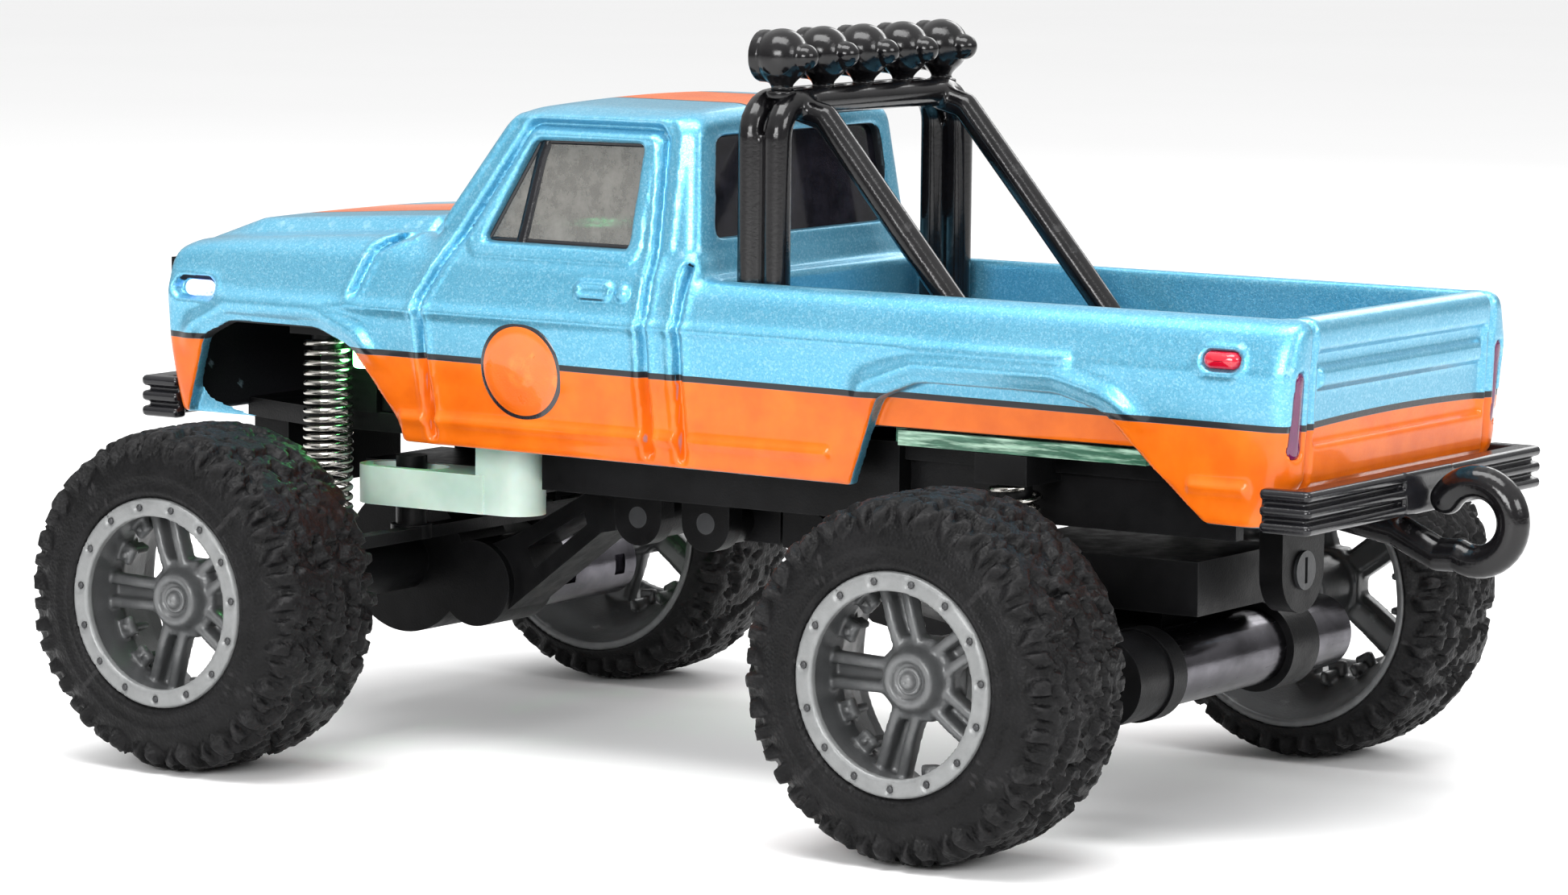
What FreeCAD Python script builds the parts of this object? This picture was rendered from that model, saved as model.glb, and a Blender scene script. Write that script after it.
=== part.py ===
"""Small radio-controlled four-wheel-drive pickup: die-cast style shell on a two-axle chassis.

Frame: millimetres, +Z up, front of the truck towards -Y, its left side at +X.
The outlines below are drawn from midway between the axles; save() moves every piece so
that the origin ends up on the ground under the centre of the overall length and width.
"""
import FreeCAD
import Part
import math
import os

V = FreeCAD.Vector
os.makedirs("parts", exist_ok=True)

# Driving dimensions
WHEELBASE = 48.0
CENTRE_Y = 5.3
TYRE_R = 9.6
TYRE_OUT, TYRE_IN = 25.0, 16.2
RIM_FACE = 25.1
KINGPIN_X = 13.2
STEER_ARM = 3.7
BODY_FRONT, BODY_REAR = -35.0, 39.9
RAIL_Z, BED_FLOOR = 28.1, 21.6
PIVOT_Z = 13.7
FRONT_PIVOT_Y, REAR_PIVOT_Y = -6.0, -1.4
GEAR_M, GEAR_Z, PINION_Z = 0.3, 23, 11
MOTOR_DY, MOTOR_DZ = 5.0, -1.0
SHAFT_R = 0.75
RUN = 0.05
SPRING_X, FRONT_SPRING_Y, REAR_SPRING_Y = 9.5, -24.0, 21.8
SPRING_SEAT, FRONT_SPRING_TOP, REAR_SPRING_TOP = 11.9, 23.4, 18.3
HOOP_X = 9.3
HORN_X, HORN_Y = 6.5, -12.8
FRONT_Y, REAR_Y = -WHEELBASE / 2, WHEELBASE / 2


def box(x0, x1, y0, y1, z0, z1):
    return Part.makeBox(x1 - x0, y1 - y0, z1 - z0, V(x0, y0, z0))


def rod_x(x0, x1, y, z, r):
    return Part.makeCylinder(r, x1 - x0, V(x0, y, z), V(1, 0, 0))


def rod_y(y0, y1, x, z, r):
    return Part.makeCylinder(r, y1 - y0, V(x, y0, z), V(0, 1, 0))


def rod_z(z0, z1, x, y, r):
    return Part.makeCylinder(r, z1 - z0, V(x, y, z0), V(0, 0, 1))


def rod(a, b, r):
    a, b = V(*a), V(*b)
    return Part.makeCylinder(r, (b - a).Length, a, b - a)


def face(points):
    return Part.Face(Part.makePolygon(points + points[:1]))


def side(outline, x0, x1):
    """Prism across the truck from a (y, z) outline."""
    return face([V(x0, y, z) for y, z in outline]).extrude(V(x1 - x0, 0, 0))


def section(outline, y0, y1):
    """Prism along the truck from an (x, z) outline."""
    return face([V(x, y0, z) for x, z in outline]).extrude(V(0, y1 - y0, 0))


def plan(outline, z0, z1):
    return face([V(x, y, z0) for x, y in outline]).extrude(V(0, 0, z1 - z0))


def turned(profile, y, z):
    """Solid of revolution about the line parallel to X at (y, z), from (x, radius) points."""
    return face([V(x, y, z + r) for x, r in profile]).revolve(V(0, y, z), V(1, 0, 0), 360)


def join(shapes):
    return shapes[0].multiFuse(shapes[1:]).removeSplitter()


def both(half):
    """Right half outline in x mirrored to a full one."""
    return half + [(-x, z) for x, z in reversed(half)]


def mirrored(shape):
    return shape.mirror(V(0, 0, 0), V(1, 0, 0))


def turn(shape, y, z, degrees):
    out = shape.copy()
    out.rotate(V(0, y, z), V(1, 0, 0), degrees)
    return out


def pair(shape):
    return Part.makeCompound([shape, mirrored(shape)])


def save(name, shape):
    placed = shape.copy()
    placed.translate(V(0, -CENTRE_Y, 0))
    placed.exportStep("parts/%s.step" % name)


# Body shell: a lower tub and a cab, each the crossing of a side outline and a section
SECTION = [(11.4, 17.0), (11.7, 20.0), (12.1, 22.8), (12.4, 25.3), (11.9, 26.4), (11.5, 28.1), (10.6, 29.4)]
SIDE = [(-33.8, 18.4), (-34.9, 22.8), (-35.0, 26.8), (-34.2, 28.1), (-30.0, 29.6), (-14.0, 30.7), (-12.5, 29.2),
        (2.3, 28.9), (2.3, RAIL_Z), (39.6, RAIL_Z), (39.9, 27.6), (39.5, 19.6), (37.8, 17.2), (12.6, 17.6),
        (-16.7, 17.8)]
FRONT_ARCH = [(-33.3, 15.0), (-33.0, 18.4), (-31.3, 22.9), (-29.2, 23.9), (-22.8, 23.9), (-20.5, 23.0), (-17.4, 18.9),
              (-16.7, 15.0)]
REAR_ARCH = [(12.6, 15.0), (12.6, 17.6), (14.6, 22.5), (17.3, 23.5), (25.7, 23.5), (28.6, 22.7), (31.0, 20.3),
             (34.4, 17.2), (34.4, 15.0)]
CAB_SECTION = [(11.2, 28.0), (10.8, 30.0), (9.9, 35.9), (9.4, 36.8), (8.4, 37.3), (0.0, 37.6)]
CAB_SIDE = [(-15.4, 28.0), (-15.2, 30.4), (-11.2, 36.3), (-10.2, 37.0), (-8.0, 37.6), (0.6, 37.6), (1.5, 36.9),
            (2.3, 29.5), (2.3, 28.0)]
WALL = 0.9


def inset_section(half, wall):
    return [(x - wall, z) for x, z in half]


def front_hollow():
    half = inset_section(SECTION, WALL)
    outline = both([(half[0][0], 16.0)] + half[:-1] + [(9.4, 28.6)])
    under = [(-33.7, 16.0), (-34.0, 26.6), (-29.8, 28.6), (-14.2, 29.7), (-12.0, 28.3), (1.3, 28.0), (1.3, 16.0)]
    return section(outline, -34.5, 2.0).common(side(under, -12, 12))


def rear_hollow():
    half = inset_section(SECTION, WALL)
    outline = both([(half[0][0], 16.0)] + half[:2] + [(half[2][0], BED_FLOOR - 0.8)])
    return section(outline, 1.2, 38.6)


def cab_solid(wall=0.0):
    outline = both([(x - wall if x else 0.0, z - (wall if z > 36 else 0)) for x, z in CAB_SECTION[:-1]])
    shape = section(outline, -18, 4)
    mid_y = -6.0
    lengthwise = [(y + wall if y < mid_y else y - wall, z - (wall if z > 36 else 0)) for y, z in CAB_SIDE]
    return shape.common(side(lengthwise, -13, 13))


SIDE_WINDOW = [(-11.7, 29.5), (-8.6, 35.0), (-1.5, 35.1), (-2.2, 29.4)]
SIDE_GLASS = side(SIDE_WINDOW, -13, 13)
WINDSHIELD = section(both([(9.7, 30.9), (8.4, 35.9)]), -16, -9)
REAR_GLASS = section(both([(8.9, 30.1), (8.1, 35.6)]), 0, 4)


def body_shell():
    lower = section(both(SECTION), BODY_FRONT - 1, BODY_REAR + 1).common(side(SIDE, -13, 13))
    outer = lower.fuse(cab_solid())
    hollow = join([front_hollow(), rear_hollow(), cab_solid(WALL)])
    shell = outer.cut(hollow)
    bed = box(-10.3, 10.3, 3.3, 38.5, BED_FLOOR, 30)
    grille_pocket = box(-10.2, 10.2, -36, -34.2, 23.2, 27.2)
    openings = [bed, grille_pocket, SIDE_GLASS, WINDSHIELD, REAR_GLASS]
    for arch in (FRONT_ARCH, REAR_ARCH):
        openings += [side(arch, -13, -10.4), side(arch, 10.4, 13)]
    openings.append(box(-13, 13, -33.4, -30.4, 25.1, 26.3))
    openings.append(box(-13, 13, 34.5, 36.7, 25.3, 26.4))
    openings.append(box(11.2, 13, 39.0, 41, 20.9, 25.4))
    openings.append(box(-13, -11.2, 39.0, 41, 20.9, 25.4))
    for y in (-15.2, -0.3, 1.9):
        for sign in (-1, 1):
            openings.append(box(min(sign * 12.0, sign * 13), max(sign * 12.0, sign * 13), y - 0.15, y + 0.15, 18, 28.5))
    shell = shell.cut(openings[0].multiFuse(openings[1:]))
    posts = [rod_z(18.8, 28.6, 0, -29.0, 1.5), rod_z(19.9, BED_FLOOR - 0.4, 0, 36.0, 1.5)]
    handles = [box(11.6, 12.1, -5.0, -2.7, 26.9, 27.4), box(-12.1, -11.6, -5.0, -2.7, 26.9, 27.4)]
    shell = join([shell] + posts + handles)
    screw_bores = rod_z(15, 25.5, 0, -29.0, 0.45).fuse(rod_z(15, BED_FLOOR - 0.9, 0, 36.0, 0.45))
    return shell.cut(screw_bores)


SHELL = body_shell()
save("body_shell", SHELL)

glass = cab_solid(WALL).cut(cab_solid(WALL + 0.8))
panes = cab_solid(0.35).common(join([SIDE_GLASS, WINDSHIELD, REAR_GLASS]))
glass = glass.fuse(panes).common(box(-13, 13, -18, 4, 29.0, 37)).cut(cab_solid(WALL + 0.8)).cut(SHELL)
save("window_insert", glass.removeSplitter())

# Front grille with round headlamps, lenses and marker lamps
LAMP_X, LAMP_Z = 8.2, 25.2
grille = box(-10.2, 10.2, -34.9, -34.2, 23.2, 27.2)
for i in range(5):
    grille = grille.cut(box(-6.0, 6.0, -35.0, -34.6, 23.7 + 0.65 * i, 24.0 + 0.65 * i))
for sx in (-1, 1):
    grille = grille.cut(rod_y(-35.2, -34.5, sx * LAMP_X, LAMP_Z, 1.35))
save("grille_insert", grille)
headlight = rod_y(-34.9, -34.5, LAMP_X, LAMP_Z, 1.35)
front_marker = box(11.1, 12.2, -33.4, -30.4, 25.1, 26.3)
save("front_lamp_lenses", Part.makeCompound([pair(headlight), pair(front_marker)]))
rear_marker = box(11.1, 12.2, 34.5, 36.7, 25.3, 26.4)
tail_light = box(11.2, 11.8, 39.0, 39.7, 20.9, 25.4)
save("rear_lamp_lenses", Part.makeCompound([pair(rear_marker), pair(tail_light)]))


def roll_bar():
    """Two parallel hoops tied together, braces to the bed floor and a lamp rail."""
    pieces = []
    for y in (4.7, 6.5):
        pieces += [rod_z(BED_FLOOR, 36.4, s * HOOP_X, y, 0.75) for s in (-1, 1)]
        pieces += [rod((s * HOOP_X, y, 36.4), (s * (HOOP_X - 1.3), y, 37.6), 0.75) for s in (-1, 1)]
        pieces += [Part.makeSphere(0.75, V(s * HOOP_X, y, 36.4)) for s in (-1, 1)]
        pieces += [Part.makeSphere(0.75, V(s * (HOOP_X - 1.3), y, 37.6)) for s in (-1, 1)]
        pieces.append(rod_x(1.3 - HOOP_X, HOOP_X - 1.3, y, 37.6, 0.75))
    for s in (-1, 1):
        pieces.append(rod((s * 7.2, 6.6, 37.3), (s * 7.2, 21.7, 21.0), 0.75).cut(box(-9, 9, 19, 25, 20, BED_FLOOR)))
        pieces.append(Part.makeSphere(0.75, V(s * 7.2, 6.6, 37.3)))
    pieces.append(box(-8.0, 8.0, 4.7, 6.5, 37.2, 38.0))
    for s in (-1, 1):
        pieces.append(box(s * HOOP_X - 0.6, s * HOOP_X + 0.6, 4.7, 6.5, BED_FLOOR, 36.0))
    return join(pieces)


ROLL_BAR = roll_bar()
save("roll_bar", ROLL_BAR)
LAMP_PITCH = 4.07
pods, lenses = [], []
for i in range(-2, 3):
    x = i * LAMP_PITCH
    pod = Part.makeSphere(1.55, V(x, 5.9, 40.15)).cut(box(x - 2, x + 2, 3, 4.9, 38, 42))
    pod = join([pod, rod_y(6.9, 7.7, x, 40.15, 0.9), rod_z(38.0, 39.2, x, 5.9, 0.55)])
    pods.append(pod.cut(ROLL_BAR))
    lenses.append(rod_y(4.5, 4.9, x, 40.15, 1.15))
save("lamp_pods", Part.makeCompound(pods))
save("lamp_lenses", Part.makeCompound(lenses))


def bumper(y0, y1, y_wrap, z0, z1, half, plate):
    """Three-ribbed bar whose ends wrap round the corner; y1 is the outer face."""
    s = 1 if y1 > y0 else -1
    core = box(-half + 0.3, half - 0.3, min(y0, y1 - s * 0.3), max(y0, y1 - s * 0.3), z0, z1)
    pieces = [core]
    rib = (z1 - z0 - 0.5) / 3
    for i in range(3):
        a = z0 + i * (rib + 0.25)
        pieces.append(box(-half, half, min(y0, y1), max(y0, y1), a, a + rib))
        for sx in (-1, 1):
            x0, x1 = sorted((sx * (half - 0.9), sx * half))
            pieces.append(box(x0, x1, min(y_wrap, y1), max(y_wrap, y1), a, a + rib))
            x0, x1 = sorted((sx * (half - 0.9), sx * (half - 0.3)))
            pieces.append(box(x0, x1, min(y_wrap, y1 - s * 0.3), max(y_wrap, y1 - s * 0.3), z0, z1))
    pieces.append(box(-plate, plate, min(y0, y1), max(y0, y1), z0, z1))
    return join(pieces)


REAR_BUMPER = bumper(40.0, 41.4, 38.4, 17.3, 19.6, 13.2, 2.7)
save("rear_bumper", REAR_BUMPER.fuse(box(-6, 6, 39.0, 40.0, 17.9, 18.9)).cut(SHELL))
front_bar = bumper(-35.2, -36.6, -33.9, 17.9, 20.3, 11.0, 2.7)
save("front_bumper", join([front_bar, box(-5, 5, -35.2, -33.0, 17.7, 18.35)]).cut(SHELL))

# Tow hook: an arm under the rear bumper that curls up and over, its tip close to the bumper
curl = Part.makeTorus(2.1, 0.9, V(0, 44.2, 17.0), V(1, 0, 0))
curl = curl.cut(side([(44.2, 17.0), (39.96, 19.65), (38.6, 17.0), (40.7, 13.5)], -2, 2))
HOOK_PATH = [(0, 35.0, 17.0), (0, 39.6, 16.2), (0, 42.0, 15.1), (0, 43.2, 15.15)]
hook = [curl, Part.makeSphere(0.86, V(0, 42.42, 18.11))]
for a, b in zip(HOOK_PATH, HOOK_PATH[1:]):
    hook += [rod(a, b, 0.85), Part.makeSphere(0.85, V(*a))]
hook.append(box(-1.6, 1.6, 34.0, 36.6, 16.2, 17.4))
hook = join(hook)
hook = hook.cut(REAR_BUMPER)
save("tow_hook", hook)


def chassis():
    """Tub in the middle, raised front deck with spring towers, flat rear deck."""
    tub = box(-8.6, 8.6, -11.0, 14.0, 15.4, 19.8)
    front_deck = plan([(-7.4, -11.0), (7.4, -11.0), (7.4, -27.0), (5.5, -33.0), (-5.5, -33.0), (-7.4, -27.0)],
                      17.7, 18.8)
    rear_deck = box(-8.0, 8.0, 14.0, 38.0, 18.8, 19.9)
    pieces = [tub, front_deck, rear_deck]
    for s in (-1, 1):
        x0, x1 = sorted((s * 6.6, s * 7.6))
        pieces.append(box(x0, x1, -26.0, -22.0, 18.8, 24.6))
        x0, x1 = sorted((s * 6.6, s * 11.0))
        pieces.append(box(x0, x1, -25.6, -22.4, FRONT_SPRING_TOP, 24.6))
        pieces.append(rod_z(FRONT_SPRING_TOP - 1.2, 24.0, s * SPRING_X, FRONT_SPRING_Y, 0.95))
        x0, x1 = sorted((s * 7.0, s * 11.0))
        pieces.append(box(x0, x1, 20.2, 23.4, REAR_SPRING_TOP, 19.9))
        pieces.append(rod_z(REAR_SPRING_TOP - 1.2, 19.0, s * SPRING_X, REAR_SPRING_Y, 0.95))
        for y in (FRONT_PIVOT_Y, REAR_PIVOT_Y):
            x0, x1 = sorted((s * 3.1, s * 4.4))
            pieces.append(box(x0, x1, y - 1.6, y + 1.6, PIVOT_Z, 15.6))
            pieces.append(rod_x(x0, x1, y, PIVOT_Z, 1.6))
    pieces.append(box(3.6, 7.4, 9.6, 13.2, 15.1, 15.6))
    pieces.append(box(-2.3, 2.3, 32.6, 34.0, 13.6, 19.0))
    pieces.append(box(-7.4, -6.6, -27.0, -12.0, 13.9, 17.8))
    pieces.append(box(-5.4, 5.4, -32.6, -30.1, 13.6, 17.8))
    pieces += [box(-7.4, -6.6, 14.0, 34.0, 15.9, 18.9), box(6.6, 7.4, 14.0, 34.0, 15.9, 18.9)]
    pieces.append(rod_y(32.6, 34.0, 0, 13.6, 2.3))
    shape = join(pieces)
    cavity = box(-7.4, 7.4, -9.8, 12.8, 16.4, 20.0)
    cuts = [cavity, rod_y(32.0, 35.0, 0, 13.6, 1.05)]
    for y in (FRONT_PIVOT_Y, REAR_PIVOT_Y):
        cuts.append(rod_x(-5, 5, y, PIVOT_Z, 0.6))
    cuts.append(rod_z(17, 20, HORN_X, HORN_Y, 0.9 + RUN))
    cuts += [rod_z(17, 20, 0, -29.0, 0.55), rod_z(18, 21, 0, 36.0, 0.55)]
    cuts.append(box(-6.3, -3.7, 5.0, 9.0, 15.0, 16.6))
    cuts.append(box(-9.0, -7.0, -3.0, 1.0, 17.2, 18.8))
    chamfer = plan([(6.3, -11.2), (8.9, -11.2), (8.9, -9.4)], 15.0, 20.0)
    cuts += [chamfer, mirrored(chamfer)]
    return shape.cut(cuts[0].multiFuse(cuts[1:]))


CHASSIS = chassis()
save("chassis_frame", CHASSIS)
save("pivot_pins", Part.makeCompound([rod_x(-4.4, 4.4, y, PIVOT_Z, 0.6) for y in (FRONT_PIVOT_Y, REAR_PIVOT_Y)]))


def screw_z(x, y, z_seat, length, r=0.45, head=0.95):
    """Pan-head screw driven upwards: head below z_seat."""
    return join([rod_z(z_seat, z_seat + length, x, y, r), rod_z(z_seat - 0.7, z_seat, x, y, head)])


lug_screw = rod_y(32.6, 34.2, 0, 13.6, 1.05).cut(box(-0.15, 0.15, 34.0, 35.0, 12.9, 14.3))
save("body_screws", Part.makeCompound([screw_z(0, -29.0, 17.7, 6.0), screw_z(0, 36.0, 18.8, 1.6), lug_screw]))

# Electronics
save("battery", box(-7.1, 7.1, -9.4, 4.4, 16.4, 19.8))
board = box(-11.0, 11.0, 14.4, 30.6, 19.95, 20.75)
board = board.cut(box(-13, 13, 13.0, 15.4, 19, 21).cut(box(-9.6, 9.6, 13.0, 15.4, 19, 21)))
save("circuit_board", board.cut(rod_z(19, 22, 0, 36.0, 2)))
led = box(8.7, 9.7, -22.2, -21.2, 22.7, 23.5)
stalk = [box(6.7, 7.3, -21.9, -20.2, 18.8, 23.6), box(7.3, 8.7, -21.9, -21.3, 22.8, 23.4)]
save("led_modules", pair(join([led] + stalk)))
save("servo_case", box(-3.4, 8.4, -19.0, -11.4, 18.8, 23.0).cut(rod_z(18, 21.6, HORN_X, HORN_Y, 0.95)))
save("switch_housing", box(-6.3, -3.7, 5.0, 9.0, 15.4, 16.4).cut(box(-5.6, -4.4, 5.7, 8.3, 15.0, 16.0)))
save("switch_slider", join([box(-5.5, -4.5, 5.8, 7.2, 15.45, 15.95), box(-5.3, -4.7, 6.2, 6.8, 14.7, 15.5)]))
socket = box(-8.6, -7.4, -3.0, 1.0, 17.2, 18.8).cut(box(-8.7, -7.6, -2.6, 0.6, 17.5, 18.5))
save("charge_socket", socket)


def coil(x, y, z0, z1, r, wire, turns):
    """Closed-end compression spring as a swept helix."""
    pitch = (z1 - z0 - 2 * wire) / turns
    helix = Part.makeHelix(pitch, pitch * turns, r)
    ring = Part.Wire(Part.makeCircle(wire, V(r, 0, 0), V(0, 1, 0)))
    spring = Part.Wire(helix.Edges).makePipeShell([ring], True, True)
    spring.translate(V(x, y, z0 + wire))
    return spring


for name, s in (("left", 1), ("right", -1)):
    save("front_spring_" + name, coil(s * SPRING_X, FRONT_SPRING_Y, SPRING_SEAT, FRONT_SPRING_TOP, 1.28, 0.16, 18))
    save("rear_spring_" + name, coil(s * SPRING_X, REAR_SPRING_Y, SPRING_SEAT, REAR_SPRING_TOP, 1.26, 0.16, 9))


def yoke(y, s):
    """Cross piece: swings on the chassis pin and lets the arm roll; s points at its axle."""
    bar = rod_x(-3.0, 3.0, y, PIVOT_Z, 1.35)
    block = box(-1.5, 1.5, min(y, y + s * 3.1), max(y, y + s * 3.1), PIVOT_Z - 1.2, PIVOT_Z + 1.2)
    end = sorted((y + s * 0.9, y + s * 3.2))
    return bar.fuse(block).cut(rod_x(-4, 4, y, PIVOT_Z, 0.6 + RUN)).cut(rod_y(end[0], end[1], 0, PIVOT_Z, 0.55 + RUN))


save("front_yoke", yoke(FRONT_PIVOT_Y, -1))
save("rear_yoke", yoke(REAR_PIVOT_Y, 1))


def roll_pin(y, s):
    ends = sorted((y + s * 1.0, y + s * 3.5))
    return rod_y(ends[0], ends[1], 0, PIVOT_Z, 0.55)


def gear(teeth, x0, x1, y, z, bore, phase):
    """Straight-sided spur gear about X with a slightly slack tooth."""
    r = GEAR_M * teeth / 2
    points = []
    for i in range(teeth):
        for part, radius in ((-0.34, r - 0.34), (-0.13, r + 0.24), (0.13, r + 0.24), (0.34, r - 0.34)):
            a = (i + part) * 2 * math.pi / teeth + phase
            points.append(V(x0, y + radius * math.cos(a), z + radius * math.sin(a)))
    wheel = face(points).extrude(V(x1 - x0, 0, 0))
    return wheel.cut(rod_x(x0 - 1, x1 + 1, y, z, bore)) if bore else wheel


MESH = math.atan2(MOTOR_DZ, MOTOR_DY)


def pinion(y, x0, x1, shaft0, shaft1):
    phase = MESH + math.pi + math.pi / PINION_Z
    toothed = gear(PINION_Z, x0, x1, y + MOTOR_DY, TYRE_R + MOTOR_DZ, 0, phase)
    return toothed.fuse(rod_x(shaft0, shaft1, y + MOTOR_DY, TYRE_R + MOTOR_DZ, 0.4))


def case_outer(y, x0, x1):
    """Outline of the gear case round the axle gear and its pinion."""
    my, mz = y + MOTOR_DY, TYRE_R + MOTOR_DZ
    return join([rod_x(x0, x1, y, TYRE_R, 4.25), rod_x(x0, x1, my, mz, 2.5), box(x0, x1, y, my, 6.9, 10.3)])


def case_inner(y, x0, x1):
    my, mz = y + MOTOR_DY, TYRE_R + MOTOR_DZ
    return rod_x(x0 + 0.6, x1 - 0.6, y, TYRE_R, 3.85).fuse(rod_x(x0 + 0.6, x1 - 0.6, my, mz, 2.05))


def axle_housing(y, tube, x0, x1, spring_y):
    """Tube with a gear case and spring seats."""
    pieces = [rod_x(-tube, tube, y, TYRE_R, 1.7), case_outer(y, x0, x1)]
    for s in (-1, 1):
        pieces.append(rod_z(TYRE_R, SPRING_SEAT, s * SPRING_X, spring_y, 1.75))
        pieces.append(box(s * SPRING_X - 1.4, s * SPRING_X + 1.4, spring_y - 1.2, y + 1.2, 9.0, 11.0))
    return join(pieces).cut(case_inner(y, x0, x1))


def halves(housing, x):
    """The two pieces of an axle housing, bolted together at the gear case wall."""
    return housing.common(box(-30, x, -40, 40, 0, 20)), housing.common(box(x, 30, -40, 40, 0, 20))


# Front axle: two-piece housing with C-hubs, arm, motor
front_housing = axle_housing(FRONT_Y, 11.5, -2.2, 2.2, FRONT_SPRING_Y)
hubs = []
for s in (-1, 1):
    for z0, z1 in ((12.0, 12.8), (6.4, 7.2)):
        x0, x1 = sorted((s * 11.0, s * KINGPIN_X))
        hubs.append(box(x0, x1, FRONT_Y - 1.3, FRONT_Y + 1.3, z0, z1))
        hubs.append(rod_z(z0, z1, s * KINGPIN_X, FRONT_Y, 1.3))
    x0, x1 = sorted((s * 11.0, s * 11.5))
    hubs.append(box(x0, x1, FRONT_Y - 1.3, FRONT_Y + 1.3, 6.4, 12.8))
hubs.append(box(-6.0, 1.4, -27.5, -17.5, 13.5, 15.2))
front_housing = join([front_housing] + hubs)
cuts = [rod_x(-12, 12, FRONT_Y, TYRE_R, SHAFT_R + RUN)]
cuts += [rod_z(6, 13, s * KINGPIN_X, FRONT_Y, 0.45) for s in (-1, 1)]
cuts.append(rod_x(-3, 0, FRONT_Y + MOTOR_DY, TYRE_R + MOTOR_DZ, 0.4 + RUN))
case_half, tube_half = halves(front_housing.cut(cuts[0].multiFuse(cuts[1:])), 1.6)
save("front_axle_case", case_half)
save("front_axle_tube", tube_half)


def spine(points, width, cutters):
    """Central arm between the yoke and the axle."""
    shape = side(points, -width, width)
    for c in cutters:
        shape = shape.cut(c)
    return shape


front_outer = case_outer(FRONT_Y, -2.2, 2.2)
arm_points = [(-9.4, 15.0), (-9.4, 12.4), (-10.4, 12.2), (-18.6, 5.9), (-20.4, 5.9), (-20.4, 10.0), (-16.4, 11.6),
              (-10.4, 15.0)]
arm = spine(arm_points, 1.7, [front_outer])
arm = max(arm.Solids, key=lambda s: s.Volume)
slot = side([(-11.6, 13.3), (-11.4, 12.6), (-15.0, 9.8), (-15.6, 10.9)], -2, 2)
arm = arm.cut(slot).fuse(roll_pin(FRONT_PIVOT_Y, -1))
save("front_arm", arm)


def motor(y, x0, x1, shaft_side):
    """Small can motor beside the axle with a flatted can and a bore for its shaft."""
    my, mz = y + MOTOR_DY, TYRE_R + MOTOR_DZ
    can = rod_x(x0, x1, my, mz, 2.05)
    bore = rod_x(x1 - 2.2, x1 + 0.1, my, mz, 0.4 + RUN)
    if shaft_side < 0:
        bore = rod_x(x0 - 0.1, x0 + 2.2, my, mz, 0.4 + RUN)
    return can.cut(bore)


front_motor = motor(FRONT_Y, -11.2, -2.2, 1)
for x in (-9.6, -4.6):
    front_motor = front_motor.cut(box(x - 0.5, x + 0.5, FRONT_Y + 6.6, FRONT_Y + 8, 8.0, 9.2))
save("front_motor", front_motor)
save("front_pinion", pinion(FRONT_Y, -1.1, 1.1, -4.2, 1.4))


def cup(s):
    shell = rod_x(*sorted((s * 11.6, s * 13.2)), FRONT_Y, TYRE_R, 1.2)
    return shell.cut(rod_x(*sorted((s * 12.2, s * 13.3)), FRONT_Y, TYRE_R, 0.95))


front_shaft = join([rod_x(-11.8, 11.8, FRONT_Y, TYRE_R, SHAFT_R), cup(1), cup(-1)])
front_gear = gear(GEAR_Z, -1.0, 1.0, FRONT_Y, TYRE_R, 0, MESH)
save("front_drive_shaft", front_shaft.fuse(front_gear))

# Steering: knuckles with rear-facing arms, kingpins, tie rod, horn
TIE_Y = FRONT_Y + STEER_ARM


def knuckle():
    body = box(11.9, 16.0, FRONT_Y - 2.4, FRONT_Y + 2.4, 7.3, 11.9)
    body = body.cut(rod_x(11.0, 14.6, FRONT_Y, TYRE_R, 1.9))
    body = body.cut(rod_x(14.0, 17.0, FRONT_Y, TYRE_R, SHAFT_R + RUN))
    body = body.cut(box(11.0, 12.6, FRONT_Y - 3, FRONT_Y + 3, 8.0, 11.2))
    body = body.cut(box(11.0, 12.0, FRONT_Y - 3, FRONT_Y + 3, 7.0, 12.0))
    for s in (-1, 1):
        y0, y1 = sorted((FRONT_Y + s * 1.1, FRONT_Y + s * 3.0))
        body = body.cut(box(11.0, 12.5, y0, y1, 7.0, 12.0))
    arm_plate = box(12.4, 14.0, FRONT_Y + 2.0, TIE_Y, 10.7, 11.55).fuse(rod_z(10.7, 11.55, KINGPIN_X, TIE_Y, 0.8))
    post = rod_z(11.2, 12.6, KINGPIN_X, TIE_Y, 0.4)
    shape = join([body, arm_plate, post])
    return shape.cut(rod_z(7, 12, KINGPIN_X, FRONT_Y, 0.45 + RUN).cut(box(10, 16, -30, -20, 7.9, 11.3)))


def kingpins():
    top = join([rod_z(11.3, 12.8, KINGPIN_X, FRONT_Y, 0.45), rod_z(12.8, 13.2, KINGPIN_X, FRONT_Y, 0.8)])
    low = join([rod_z(6.4, 7.9, KINGPIN_X, FRONT_Y, 0.45), rod_z(6.0, 6.4, KINGPIN_X, FRONT_Y, 0.8)])
    return Part.makeCompound([top, low])


save("knuckle_left", knuckle())
save("knuckle_right", mirrored(knuckle()))
save("kingpins", pair(kingpins()))


def tie_eye(s):
    slot = rod_z(11, 14, s * KINGPIN_X, TIE_Y, 0.46).fuse(rod_z(11, 14, s * KINGPIN_X, TIE_Y - 0.4, 0.46))
    return slot.fuse(box(s * KINGPIN_X - 0.46, s * KINGPIN_X + 0.46, TIE_Y - 0.4, TIE_Y, 11, 14))


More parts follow.
